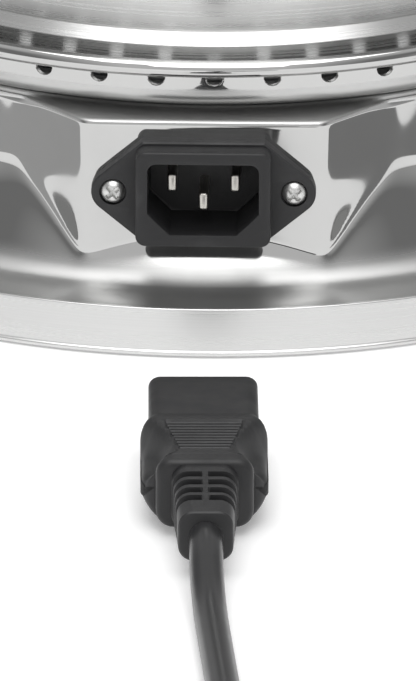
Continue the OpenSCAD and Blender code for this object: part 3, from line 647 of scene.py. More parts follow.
def copies_tree():
    """Copies of a piece round an axis or along a row, realised and given their material."""
    tree, gin, gout = geometry_tree("Copies", [
        ("Piece", "Object"), ("Count", "Int"), ("Turn each", "Float"), ("Step", "Vector"),
        ("First size", "Vector"), ("Last size", "Vector"), ("Material", "Material")])
    nodes = tree.nodes
    points = nodes.new("GeometryNodeMeshLine")
    points.mode = "OFFSET"
    piece = nodes.new("GeometryNodeObjectInfo")
    index = nodes.new("GeometryNodeInputIndex")
    angle = math_node(tree, "MULTIPLY", index.outputs[0], gin.outputs["Turn each"])
    turn = nodes.new("ShaderNodeCombineXYZ")
    steps = math_node(tree, "MAXIMUM", math_node(tree, "SUBTRACT", gin.outputs["Count"], 1), 1)
    size = nodes.new("ShaderNodeMix")
    size.data_type = "VECTOR"
    on_points = nodes.new("GeometryNodeInstanceOnPoints")
    real = nodes.new("GeometryNodeRealizeInstances")
    coat = nodes.new("GeometryNodeSetMaterial")
    for source, target in (
            (gin.outputs["Count"], points.inputs["Count"]),
            (gin.outputs["Step"], points.inputs["Offset"]),
            (gin.outputs["Piece"], piece.inputs["Object"]),
            (angle, turn.inputs["Z"]),
            (math_node(tree, "DIVIDE", index.outputs[0], steps), size.inputs["Factor"]),
            (gin.outputs["First size"], size.inputs[4]),
            (gin.outputs["Last size"], size.inputs[5]),
            (points.outputs["Mesh"], on_points.inputs["Points"]),
            (piece.outputs["Geometry"], on_points.inputs["Instance"]),
            (turn.outputs[0], on_points.inputs["Rotation"]),
            (size.outputs[1], on_points.inputs["Scale"]),
            (on_points.outputs[0], real.inputs[0]),
            (real.outputs[0], coat.inputs["Geometry"]),
            (gin.outputs["Material"], coat.inputs["Material"]),
            (coat.outputs[0], gout.inputs[0])):
        tree.links.new(source, target)
    return tree


TREES = {}


def copies(name, piece, count, slot, turn_each=0.0, step=(0, 0, 0), first=(1, 1, 1), last=(1, 1, 1),
           move=None):
    """Count copies of a piece in one mesh. The piece itself is used up."""
    if "copies" not in TREES:
        TREES["copies"] = copies_tree()
    host = add_object(name, bpy.data.meshes.new(name))
    run_tree(host, TREES["copies"], {
        "Piece": piece, "Count": count, "Turn each": turn_each, "Step": Vector(step),
        "First size": Vector(first), "Last size": Vector(last), "Material": finish(slot)})
    bpy.data.objects.remove(piece)
    if move is not None:
        host.data.transform(move)
    return host


def screw(name, head_r, head_h, length):
    """A pan-head screw along +Z with its head's underside at zero and a cross recess."""
    rings = 16
    sides = 64
    recess = 1.3 * MM
    slot_half = 0.4 * MM
    edge = 0.16 * MM
    arm_end = 0.66 * head_r
    verts = []
    profile = [(0.0, -length), (SHANK_R * 0.8, -length), (SHANK_R, 0.4 * MM - length), (SHANK_R, 0.0),
               (head_r, 0.0), (head_r, head_h * 0.35)]
    dome = []
    for i in range(rings + 1):
        r = head_r * (1 - i / rings)
        drop = (r / head_r) ** 3.2
        dome.append((r, head_h * (1 - 0.65 * drop)))
    for k in range(sides):
        a = 2 * pi * k / sides
        for r, z in profile:
            verts.append((r * cos(a), r * sin(a), z))
        for r, z in dome[1:]:
            x, y = r * cos(a), r * sin(a)
            arm = min(abs(x), abs(y))
            far = max(abs(x), abs(y))
            inside = smooth_step((slot_half + edge / 2 - arm) / edge) * smooth_step((arm_end - far) / edge)
            verts.append((x, y, z - recess * inside * (1 - 0.45 * far / arm_end)))
    return make_object(name, verts, turned_faces(sides, len(profile) + rings))


# ---------- settings ----------
def setting(name, description, default, **limits):
    return bpy.props.FloatProperty(name=name, description=description, default=default, **limits)


def size_setting(name, description, default):
    return setting(name, description, default, unit="LENGTH")


def angle_setting(name, description, default):
    return setting(name, description, radians(default), unit="ROTATION")


class KettleStageSettings(bpy.types.PropertyGroup):
    distance: size_setting("Camera distance", "From the camera to the point above the base's middle", 3.0)
    height: size_setting("Aim height", "Height of the point that the distance is measured to", 0.03)
    rise: angle_setting("Camera elevation", "Angle of the camera above the table", 19.814)
    turn: angle_setting("Camera turn", "Angle of the camera from the inlet's own direction", 1.293)
    dip: angle_setting("Aim dip", "How far below that point the camera is aimed", 1.274)
    veer: angle_setting("Aim veer", "How far left of that point the camera is aimed", 0.0283)
    roll: angle_setting("Camera roll", "Turn of the camera about its own axis", 0.21)
    lens: setting("Focal length", "Focal length on a sensor 36 mm high", 696.0)
    floor_tone: setting("Floor tone", "How pale the floor is", 0.93, min=0, max=1)
    floor_glow: setting("Floor glow", "Light that the floor gives off by itself", 0.22, min=0)
    sky: setting("Room light", "Strength of the light from the room's walls", 0.75, min=0)


class KettleFinishSettings(bpy.types.PropertyGroup):
    fold: size_setting("Panel fold", "Softness of the folds round the flat panels", 1.6 * MM)
    fillet: size_setting("Panel fillet", "Softness where a panel runs into the flare", 1.0 * MM)


class KettleLeadSettings(bpy.types.PropertyGroup):
    length: size_setting("Cord length", "Length of the cord from the connector to the plug", 1.2)
    coil_r: size_setting("Coil radius", "Radius of the coil at the middle of its turns", 39.6 * MM)


# ---------- stage ----------
def soft_box(name, at, aim, width, height, power):
    light = bpy.data.lights.new(name, "AREA")
    light.shape = "RECTANGLE"
    light.size = width
    light.size_y = height
    light.energy = power
    lamp = add_object(name, light)
    lamp.location = at
    lamp.rotation_euler = (Vector(aim) - Vector(at)).to_track_quat("-Z", "Y").to_euler()


def sheet(name, x, y, z, half_w, half_d):
    """A level rectangle."""
    corners = [(x + sx * half_w, y + sy * half_d, z) for sx, sy in ((-1, -1), (1, -1), (1, 1), (-1, 1))]
    return make_object(name, corners, [(0, 1, 2, 3)], False)


def flag(name, x, tone):
    """A grey card that lies on the table beside the set, where only the polished metal sees it."""
    piece = sheet(name, x, 0.06, 0.5 * MM, 0.21, 0.2)
    piece.data.materials.append(new_material(name, (tone, tone, tone), 0.0, 0.9)[0])
    piece.visible_camera = False
    piece.visible_shadow = False
    piece.visible_diffuse = False


class KETTLE_OT_stage(bpy.types.Operator):
    """Adds the camera, the floor and the lights"""

    bl_idname = "kettle.stage"
    bl_label = "Stage"

    def execute(self, context):
        s = context.scene.kettle_stage
        back = Vector((sin(s.turn) * cos(s.rise), -cos(s.turn) * cos(s.rise), sin(s.rise)))
        right = Vector((cos(s.turn), sin(s.turn), 0))
        up = back.cross(right)
        side = right * cos(s.roll) + up * sin(s.roll)
        lift = up * cos(s.roll) - right * sin(s.roll)
        ahead = (-back - lift * tan(s.dip) - side * tan(s.veer)).normalized()
        side = (side - ahead * side.dot(ahead)).normalized()
        data = bpy.data.cameras.new("Camera")
        data.sensor_fit = "VERTICAL"
        data.sensor_height = 36
        data.lens = s.lens
        data.clip_end = 50
        data.clip_start = 0.05
        camera = add_object("Camera", data)
        pose = Matrix((side, side.cross(ahead), -ahead)).transposed().to_4x4()
        pose.translation = Vector((0, 0, s.height)) + back * s.distance
        camera.matrix_world = pose
        context.scene.camera = camera

        floor = sheet("Floor", 0, 0, 0, 8, 8)
        material, _, shader = new_material("Floor paper", (s.floor_tone,) * 3, 0.0, 0.85)
        shader.inputs["Emission Color"].default_value = (1, 1, 1, 1)
        shader.inputs["Emission Strength"].default_value = s.floor_glow
        floor.data.materials.append(material)

        flag("Grey card left", -0.33, 0.46)
        flag("Grey card right", 0.33, 0.24)

        world = bpy.data.worlds.new("Room")
        world.use_nodes = True
        self.room(world.node_tree, s.sky)
        context.scene.world = world
        context.scene.view_settings.view_transform = "Standard"
        soft_box("Top light", (0, -0.5, 2.4), (0, 0, 0), 2.0, 2.0, 30)
        soft_box("Front light", (0.1, -2.2, 2.3), (0, 0, 0.05), 1.6, 0.9, 13)
        return {"FINISHED"}

    def room(self, tree, strength):
        """The walls of the room, by direction: pale in front, behind and overhead, darker to the sides."""
        sky = tree.nodes["Background"]
        sky.inputs["Strength"].default_value = strength
        x, _, z = split(tree, tree.nodes.new("ShaderNodeTexCoord").outputs["Generated"])
        side = math_node(tree, "ABSOLUTE", math_node(tree, "ADD", x, 0.02))
        # From pale to dark towards the sides, then part of the way back at the far sides
        wall = spread(tree, side, 0.34, 0.66, 1.0, 0.32)
        far_side = spread(tree, side, 0.74, 0.95, 0.0, 0.55)
        tone = math_node(tree, "ADD", wall, far_side)
        roof = spread(tree, z, 0.68, 0.92, 0.0, 1.0)
        mixed = tree.nodes.new("ShaderNodeMix")
        tree.links.new(roof, mixed.inputs[0])
        tree.links.new(tone, mixed.inputs[2])
        mixed.inputs[3].default_value = 0.9
        tree.links.new(mixed.outputs[0], sky.inputs["Color"])


# ---------- lead ----------
def lead_point(side, back, up):
    """A point on the connector: to its right, behind its front and above its middle."""
    turn = Matrix.Rotation(LEAD_TURN, 3, "Z")
    return LEAD_AT + turn @ Vector((side, -back, up))


def lead_section(half_w, half_h, corner, cut, bow):
    """One section of the connector, as (side, up) points.

    Its lower corners are cut with bow 0, round with bow 1, and between the two in between.
    """
    top_steps = 24
    inner_w, inner_h = half_w - corner, half_h - corner
    points = [(-inner_w + 2 * inner_w * i / top_steps, half_h) for i in range(top_steps + 1)]
    points += arc(inner_w, inner_h, corner, 90, 0, 6)[1:]
    low_w, low_h = half_w - cut, half_h - cut
    points += [(half_w, inner_h + (-low_h - inner_h) * i / 6) for i in range(1, 7)]
    round_right = arc(low_w, -low_h, cut, 0, -90, 8)[1:]
    points += [(x * bow + (1 - bow) * (half_w - cut * i / 8), z * bow + (1 - bow) * (-low_h - cut * i / 8))
               for i, (x, z) in enumerate(round_right, 1)]
    points += [(low_w - 2 * low_w * i / 6, -half_h) for i in range(1, 7)]
    round_left = arc(-low_w, -low_h, cut, -90, -180, 8)[1:]
    points += [(x * bow + (1 - bow) * (-low_w - cut * i / 8), z * bow + (1 - bow) * (-half_h + cut * i / 8))
               for i, (x, z) in enumerate(round_left, 1)]
    points += [(-half_w, -low_h + (inner_h + low_h) * i / 6) for i in range(1, 7)]
    points += arc(-inner_w, inner_h, corner, 180, 90, 6)[1:-1]
    return points


def loft_lead(name, stations, shape):
    """A closed body along the lead. Each station is (back, half width, half height, corner, cut, bow)."""
    verts = []
    for back, *section in stations:
        for side, up in lead_section(*section):
            side, up = shape(side, back, up)
            verts.append(lead_point(side, back, up))
    return make_object(name, verts, tube_faces(len(stations), len(verts) // len(stations)))


# The rib patch on the connector's back: its ends and its half widths there
PATCH_FRONT = 27.5 * MM
PATCH_BACK = 43.6 * MM
PATCH_WIDE = 8.2 * MM
PATCH_NARROW = 5.3 * MM


def patch_half(back):
    t = (back - PATCH_FRONT) / (PATCH_BACK - PATCH_FRONT)
    return PATCH_WIDE + (PATCH_NARROW - PATCH_WIDE) * t


def grip_shape(side, back, up):
    """Lowers the shoulders beside the plateau, and sinks the rib patch."""
    if up <= 0 or back < NOSE_LEN - 0.5 * MM:
        return side, up
    plateau = 11.4 * MM - 5.6 * MM * smooth_step((back - NOSE_LEN + 1 * MM) / (20 * MM))
    plateau += 5 * MM * smooth_step((back - 44.6 * MM) / (4.4 * MM))
    depth = 5.6 * MM * smooth_step((back - NOSE_LEN) / (7 * MM))
    depth *= 1 - smooth_step((back - 44 * MM) / (5 * MM))
    out = smooth_step((abs(side) - plateau) / (4.6 * MM))
    up -= depth * out * smooth_step(up / (3 * MM))
    if PATCH_FRONT - 0.3 * MM < back < PATCH_BACK + 0.3 * MM and up > 5 * MM:
        sunk = smooth_step((patch_half(back) + 0.4 * MM - abs(side)) / (0.5 * MM))
        sunk *= smooth_step((back - PATCH_FRONT + 0.3 * MM) / (0.5 * MM))
        sunk *= smooth_step((PATCH_BACK + 0.3 * MM - back) / (0.5 * MM))
        up -= 0.7 * MM * sunk
    return side, up


def connector_stations():
    """The connector's nose, swell, grip and rounded back. The rows are in mm until the last line."""
    rows = []
    for back, inset in ((0, 1.4), (0.12, 0.95), (0.4, 0.5), (0.85, 0.15), (1.4, 0)):
        rows.append((back, 11.8 - inset, 8 - inset, 2.4, 4.4 - inset / 2, 0.1))
    rows += [(b, 11.8, 8, 2.4, 4.4, 0.1) for b in (4, 8, 12, 16, 20, 22)]
    for i in range(13):
        t = smooth_step(i / 12)
        rows.append((22.3 + 0.32 * i, 11.8 + 1.85 * t, 8 + 0.3 * t, 2.4 + 1.2 * t, 4.4 + 2.1 * t,
                     0.1 + 0.6 * t))
    back = 26.5
    while back < 41.4:
        rows.append((back, 13.65, 8.3, 3.6, 6.5, 0.7))
        back += 0.35
    for i in range(1, 19):
        t = i / 18 * pi / 2
        rows.append((41.4 + 4.8 * sin(t), 13.65 - 3.15 * (1 - cos(t)), 8.3 - 0.4 * (1 - cos(t)),
                     3.6, 6.5 - 2.7 * (1 - cos(t)), 0.7 + 0.3 * (1 - cos(t))))
    for back, inset in ((46.8, 0.03), (47.8, 0.05), (48.8, 0.1), (49.4, 0.3), (49.8, 0.65), (50, 1.15)):
        rows.append((back, 10.5 - inset, 7.9 - inset, 3.6 - inset / 2, 3.8 - inset / 2, 1.0))
    return [tuple(c * MM for c in row[:5]) + row[5:] for row in rows]


SLOT_ROWS = (4.6, 8.6, 12.6, 16.4)
SLOT_HALF = 1.15


def relief_shape(side, back, up):
    """Cuts the relief's slots, which leave a spine along its top and its bottom."""
    run = (back - BODY_LEN) / MM
    near = min(abs(run - row) for row in SLOT_ROWS)
    cut = smooth_step((SLOT_HALF + 0.15 - near) / 0.3) * smooth_step((abs(side) / MM - 0.7) / 0.4)
    swell = 0.03 * cos(pi * min(1.0, near / 2.6)) if 2 < run < 22 else 0.0
    scale = 1 - swell - 0.38 * cut
    return side * scale, up * scale


def relief_stations():
    marks = {-1.0, 0.0, 1.0, 2.0, 23.0, 23.5}
    for row in SLOT_ROWS:
        marks |= {row - SLOT_HALF - 0.15, row - SLOT_HALF + 0.15, row, row + SLOT_HALF - 0.15,
                  row + SLOT_HALF + 0.15}
    rows = []
    for run in sorted(marks):
        half = 7.1 - 1.3 * run / 24
        rows.append((BODY_LEN + run * MM, half * MM, (half - 0.25) * MM, 3.2 * MM, 3.2 * MM, 1.0))
    rows.append((BODY_LEN + 23.85 * MM, 5.5 * MM, 5.3 * MM, 2.9 * MM, 3 * MM, 1.0))
    rows.append((BODY_LEN + 24 * MM, 4.9 * MM, 4.7 * MM, 2.5 * MM, 2.6 * MM, 1.0))
    return rows


def coil_points(radius):
    """The turns: bottom outer, bottom inner, top inner, top outer, against the clock from the left."""
    steps = 36
    out = []
    for i in range(1, COIL_TURNS * steps):
        turn = i // steps
        ease = smooth_step((i % steps - 29) / 7)
        r = radius + CORD_R * (1, -1, -1, 1)[turn]
        z = CORD_R * (1, 1, 3, 3)[turn]
        if turn == 0:
            r -= 2 * CORD_R * ease
        elif turn == 1:
            z += 2 * CORD_R * ease
        elif turn == 2:
            r += 2 * CORD_R * ease
            z += 1.8 * MM * sin(pi * ease)
        a = pi + 2 * pi * i / steps
        out.append((COIL_AT[0] + r * cos(a), COIL_AT[1] + r * sin(a), z))
    return out


class KETTLE_OT_lead(bpy.types.Operator):
    """Adds the cord with its coil, the connector, the tie and the plug"""

    bl_idname = "kettle.lead"
    bl_label = "Mains lead"

    def execute(self, context):
        s = context.scene.kettle_lead
        body = loft_lead("Connector", connector_stations(), grip_shape)
        rib = make_object("Rib", *bar_mesh(1.0, 0.42 * MM))
        count = 10
        pitch = (PATCH_BACK - PATCH_FRONT - 1.6 * MM) / (count - 1)
        ribs = copies("Connector_ribs", rib, count, "black_plastic", step=(0, -pitch, 0),
                      first=(2 * PATCH_WIDE, 1, 1), last=(2 * PATCH_NARROW, 1, 1),
                      move=Matrix.Translation(lead_point(0, PATCH_FRONT + 0.8 * MM, 7.75 * MM))
                      @ spin(LEAD_TURN))
        place(ribs, body="base", slot="black_plastic")
        place(body, "connector_body")
        relief = place(loft_lead("Strain_relief", relief_stations(), relief_shape), "connector_relief")
        tie = dressed("cord_tie", 0.3)
        plug = dressed("plug_body", 0.8, 3)
        plug_relief = dressed("plug_relief", 0.4)
        pins = dressed("plug_pins", 0.3)
        clips = dressed("plug_earth_clips", 0.2)

        route = [tuple(c * MM for c in p) for p in CORD_ROUTE]
        route += coil_points(s.coil_r)
        route += [tuple(c * MM for c in p) for p in TAIL_ROUTE]
        data = bpy.data.curves.new("Cord", "CURVE")
        data.dimensions = "3D"
        data.bevel_depth = CORD_R
        data.bevel_resolution = 5
        data.resolution_u = 2
        data.use_fill_caps = True
        spline = data.splines.new("POLY")
        spline.points.add(len(route) - 1)
        for point, at in zip(spline.points, route):
            point.co = (*at, 1)
        spline.use_smooth = True
        cord = add_object("Cord", data)
        place(cord, "cord", "cord_coil")
        return {"FINISHED"}


def bar_mesh(length, half_thick):
    """A bar along X with a rounded top, as (points, faces)."""
    half_high = 0.3 * MM
    outline = [(-half_thick, -half_high), (half_thick, -half_high)]
    outline += arc(0, half_high - half_thick * 0.8, half_thick, 0, 180, 6)
    verts = [(x, y, z) for x in (-length / 2, length / 2) for y, z in outline]
    return verts, tube_faces(2, len(outline))


# ---------- base ----------
def flare_radius(z):
    """The skirt's radius at a height below the shoulder."""
    top_c = NECK_R + FILLET_HIGH
    bend_low = NECK_LOW - FILLET_HIGH * sin(FLARE_LEAN)
    if z >= NECK_LOW:
        return NECK_R
    if z >= bend_low:
        return top_c - sqrt(FILLET_HIGH ** 2 - (NECK_LOW - z) ** 2)
    start = top_c - FILLET_HIGH * cos(FLARE_LEAN)
    foot_high = LEDGE_Z + FILLET_LOW * (1 - sin(FLARE_LEAN))
    if z >= foot_high:
        return start + (bend_low - z) * tan(FLARE_LEAN)
    low_c = start + (bend_low - foot_high) * tan(FLARE_LEAN) + FILLET_LOW * cos(FLARE_LEAN)
    drop = min(FILLET_LOW, LEDGE_Z + FILLET_LOW - z)
    return low_c - sqrt(max(0.0, FILLET_LOW ** 2 - drop ** 2))


def boss_radius(turn, fold):
    """How far out the flat panel and its facets stand, at an angle from the panel's middle."""
    if abs(turn) > radians(42):
        return 0.0
    panel = PANEL_Y / cos(turn)
    run = BOSS_BACK - BOSS_CORNER
    normal = Vector((-run.y, run.x)).normalized()
    off = normal.dot(BOSS_CORNER)
    aim = atan2(normal.x, normal.y)
    facet = off / cos(abs(turn) - aim)
    return smooth_min(panel, facet, fold)


def skirt_angles():
    out = []
    for start in (-90, 90):
        out += [start - 36 + 0.4 * i for i in range(180)]
        out += [start + 36 + 1.5 * i for i in range(72)]
    return [radians(a) for a in out]


class KETTLE_OT_base(bpy.types.Operator):
    """Adds the flared skirt, the foot band, the base plate and the feet"""

    bl_idname = "kettle.base"
    bl_label = "Base"

    def execute(self, context):
        s = context.scene.kettle_finish
        corner = 1.0 * MM
        levels = [BOSS_TOP - corner - 0.9 * MM]
        while levels[-1] > LEDGE_Z + 0.6 * MM:
            levels.append(levels[-1] - (0.75 if levels[-1] > 0.022 else 0.3) * MM)
        levels = [z for z in levels if z > LEDGE_Z + 0.25 * MM]
        angles = skirt_angles()
        verts = []
        for a in angles:
            turn = (a + pi / 2) % pi
            turn = turn - pi if turn > pi / 2 else turn
            out = boss_radius(turn, s.fold)
            column = [(OPENING_R, BASE_TOP)]
            column += arc(NECK_R - SHOULDER_R, BASE_TOP - SHOULDER_R, SHOULDER_R, 90, 38, 5)
            edge = column[-1][0]
            reach = smooth_max(out - corner, edge, 0.3 * MM)
            column += [(edge + (reach - edge) * t, BOSS_TOP + (0.1 - 0.7 * t) * MM)
                       for t in (0.25, 0.6, 1.0)]
            for k in (1, 2, 3, 4):
                t = k / 4 * pi / 2
                column.append((smooth_max(out - corner + corner * sin(t), NECK_R, 0.3 * MM),
                               BOSS_TOP - 0.6 * MM - corner * (1 - cos(t)) - 0.02 * MM * k))
            column += [(smooth_max(out, flare_radius(z), s.fillet), z) for z in levels]
            column += [(flare_radius(LEDGE_Z), LEDGE_Z), (flare_radius(LEDGE_Z) + 2.4 * MM, LEDGE_Z),
                       (LEDGE_R, LEDGE_Z)]
            verts += [(r * cos(a), r * sin(a), z) for r, z in column]
        count = len(column)
        faces = []
        for i in range(len(angles)):
            j = (i + 1) % len(angles)
            for k in range(count - 1):
                faces.append((i * count + k, i * count + k + 1, j * count + k + 1, j * count + k))
        skirt = make_object("Skirt", verts, faces)
        wall = skirt.modifiers.new("Sheet", "SOLIDIFY")
        wall.thickness = 1.0 * MM
        wall.offset = -1
        bake(skirt, 60)
        for drill in self.openings():
            cut_away(skirt, drill, 60)
        place(skirt, "base_skirt", material=polished_metal(
            "skirt_steel",
            dull=((BOSS_TOP - 1.3 * MM, BOSS_TOP - 0.8 * MM, 0.0, 0.45),
                  (LEDGE_Z + 2.5 * MM, LEDGE_Z + 6.5 * MM, 0.38, 0.0))))

        wall_in = FOOT_R - 1.6 * MM
        crease = BAND_LOW + 1.3 * MM
        outline = soften([(wall_in, BAND_LOW), (FOOT_R - 0.3 * MM, BAND_LOW), (FOOT_R, BAND_LOW + 0.3 * MM),
                          (FOOT_R, crease - 0.35 * MM), (FOOT_R - 0.45 * MM, crease),
                          (FOOT_R - 0.4 * MM, BAND_TOP), (wall_in, BAND_TOP)], 0.35 * MM)
        place(lathe("Foot_band", outline, 256), "foot_band")
        for node in ("rubber_feet", "foot_posts", "base_plate"):
            dressed(node, 0.25)
        ring = (high("foot_screws").x + low("foot_screws").x) / 2
        at = (high("foot_screws").x - SCREW_HEAD_R) * sqrt(2) + ring
        pan = transform(screw("Foot_screw", SCREW_HEAD_R, 1.0 * MM, 6.6 * MM), spin(pi / 4),
                        Matrix.Translation((at, 0, 1.6 * MM)), spin(pi, "X"))
        place(copies("Foot_screws", pan, 4, "bright_fastener", turn_each=pi / 2), "foot_screws")
        return {"FINISHED"}

    def openings(self):
        """The drills for the inlet, the spindle and the lamp."""
        outside, inside = -0.104, -0.09
        corner = 1.6 * MM
        spindle_hole_r = 4.6 * MM
        lamp_gap = 0.05 * MM
        body = [cornered(13.5 * MM, 9.5 * MM, corner, corner, 1, y) for y in (outside, inside)]
        drills = [loft("Inlet_opening", body)]
        lamp = middle("pilot_holder")
        lamp_r = (high("pilot_holder").z - low("pilot_holder").z) / 2
        for x, r in ((0, spindle_hole_r), (lamp.x, lamp_r + lamp_gap)):
            drills.append(swing(rod("Drill", r, 0, 14 * MM, 48), Vector((x, 90 * MM, KNOB_Z))))
        return drills


def vent_cell(band, wall, low_z, high_z, half_turn):
    """One cell of the ring's band with a round hole through it, as (points, faces)."""
    vent_z = RING_LOW + 7.2 * MM
    vent_r = 1.9 * MM
    steps = 8
    edge = [(-half_turn + 2 * half_turn * i / steps, low_z) for i in range(steps)]
    edge += [(half_turn, low_z + (high_z - low_z) * i / steps) for i in range(steps)]
    edge += [(half_turn - 2 * half_turn * i / steps, high_z) for i in range(steps)]
    edge += [(-half_turn, high_z - (high_z - low_z) * i / steps) for i in range(steps)]
    loops = []
    for depth, inward in ((0.0, -1), (wall, 1)):
        loops.append([(a, z, band - depth) for a, z in edge])
        for grow, sink in ((0.5 * MM, 0.0), (0.12 * MM, 0.0), (0.0, 0.12 * MM)):
            ring = []
            for a, z in edge:
                aim = atan2((z - vent_z), a * band)
                r = vent_r + grow
                ring.append((r * cos(aim) / band, vent_z + r * sin(aim), band - depth + inward * sink))
            loops.append(ring)
    verts = [(r * cos(a), r * sin(a), z) for loop in loops for a, z, r in loop]
    faces = []
    for i, j in ((0, 1), (1, 2), (2, 3), (3, 7), (7, 6), (6, 5), (5, 4)):
        faces += ring_faces(i, j, len(edge))
    return verts, faces


class KETTLE_OT_gallery(bpy.types.Operator):
    """Adds the pierced gallery ring with its rolled rim, its screws and its nuts"""

    bl_idname = "kettle.gallery"
    bl_label = "Gallery ring"

    def execute(self, context):
        bead = 1.9 * MM
        rim_c = RIM_OUT - bead
        band = rim_c - 1.1 * MM
        rim_z = RIM_TOP - bead
        bend, wall = 4 * MM, 1.2 * MM
        band_z = RING_LOW + bend
        first = radians(-90 + 1.3)
        outer = [(RING_FLOOR_R, RING_LOW)] + arc(band - bend, band_z, bend, -90, 0, 14)
        inner = arc(band - bend, band_z, bend - wall, 0, -90, 14) + [(RING_FLOOR_R, RING_LOW + wall)]
        lift = degrees_of(asin((band - rim_c) / bead))
        rim = arc(rim_c, rim_z, bead, -90 + lift, 212, 40)
        hold = rim[0][1]
        hold_in = rim_z - 1.1 * MM
        half = pi / VENTS
        segments = VENTS * 8
        verts, faces = [], []
        for chain in (inner + outer, rim + [(band - wall, hold_in)]):
            start = len(verts)
            for i in range(segments):
                a = first + half + 2 * pi * i / segments
                verts += [(r * cos(a), r * sin(a), z) for r, z in chain]
            faces += turned_faces(segments, len(chain), start)
        ring = make_object("Gallery_ring", verts, faces, False)
        cell = make_object("Vent_cell", *vent_cell(band, wall, band_z, hold, half), False)
        transform(cell, spin(first))
        cells = copies("Vent_cells", cell, VENTS, "polished_steel", turn_each=2 * half)
        bm = bmesh.new()
        bm.from_mesh(ring.data)
        bm.from_mesh(cells.data)
        bmesh.ops.remove_doubles(bm, verts=bm.verts, dist=5e-6)
        gaps = [e for e in bm.edges if len(e.link_faces) == 1]
        if len(gaps) == 2 * segments:
            bmesh.ops.bridge_loops(bm, edges=gaps)
        bmesh.ops.recalc_face_normals(bm, faces=bm.faces)
        bm.to_mesh(ring.data)
        bm.free()
        bpy.data.objects.remove(cells)
        shade(ring.data)
        place(ring, "gallery_ring", material=polished_metal(
            "ring_steel", dull=((RING_LOW + 4.2 * MM, RING_LOW + 4.9 * MM, 0.3, 0.0),)))
        head = 1.6 * MM
        pan = transform(screw("Ring_screw", SCREW_HEAD_R, head, 6.2 * MM), spin(pi / 4),
                        Matrix.Translation((RING_SCREW_R, 0, high("ring_screws").z - head)))
        place(copies("Ring_screws", pan, 4, "bright_fastener", turn_each=pi / 2), "ring_screws")
        dressed("ring_nuts", 0.2)
        return {"FINISHED"}


def cornered(half_w, half_h, top, low, bow, y):
    """A loop round the inlet's middle at a depth y: round upper corners and cut or round lower ones."""
    steps = 8
    runs = 6
    points = []
    for sx, sz, start, reach, curve in ((1, 1, 0, top, 1.0), (-1, 1, 90, top, 1.0),
                                        (-1, -1, 180, low, bow), (1, -1, 270, low, bow)):
        cx, cz = sx * (half_w - reach), sz * (half_h - reach)
        bend = arc(cx, cz, reach, start, start + 90, steps)
        (x0, z0), (x1, z1) = bend[0], bend[-1]
        for i, (x, z) in enumerate(bend):
            t = i / steps
            points.append((x * curve + (x0 + (x1 - x0) * t) * (1 - curve),
                           z * curve + (z0 + (z1 - z0) * t) * (1 - curve)))
    full = []
    for i, point in enumerate(points):
        after = points[(i + 1) % len(points)]
        full.append(point)
        if (i + 1) % (steps + 1) == 0:
            full += [tuple(p + (q - p) * k / runs for p, q in zip(point, after)) for k in range(1, runs)]
    return [(x, y, INLET_Z + z) for x, z in full]


def loft(name, loops):
    """A closed body through loops of as many points each."""
    return make_object(name, [p for loop in loops for p in loop], tube_faces(len(loops), len(loops[0])))


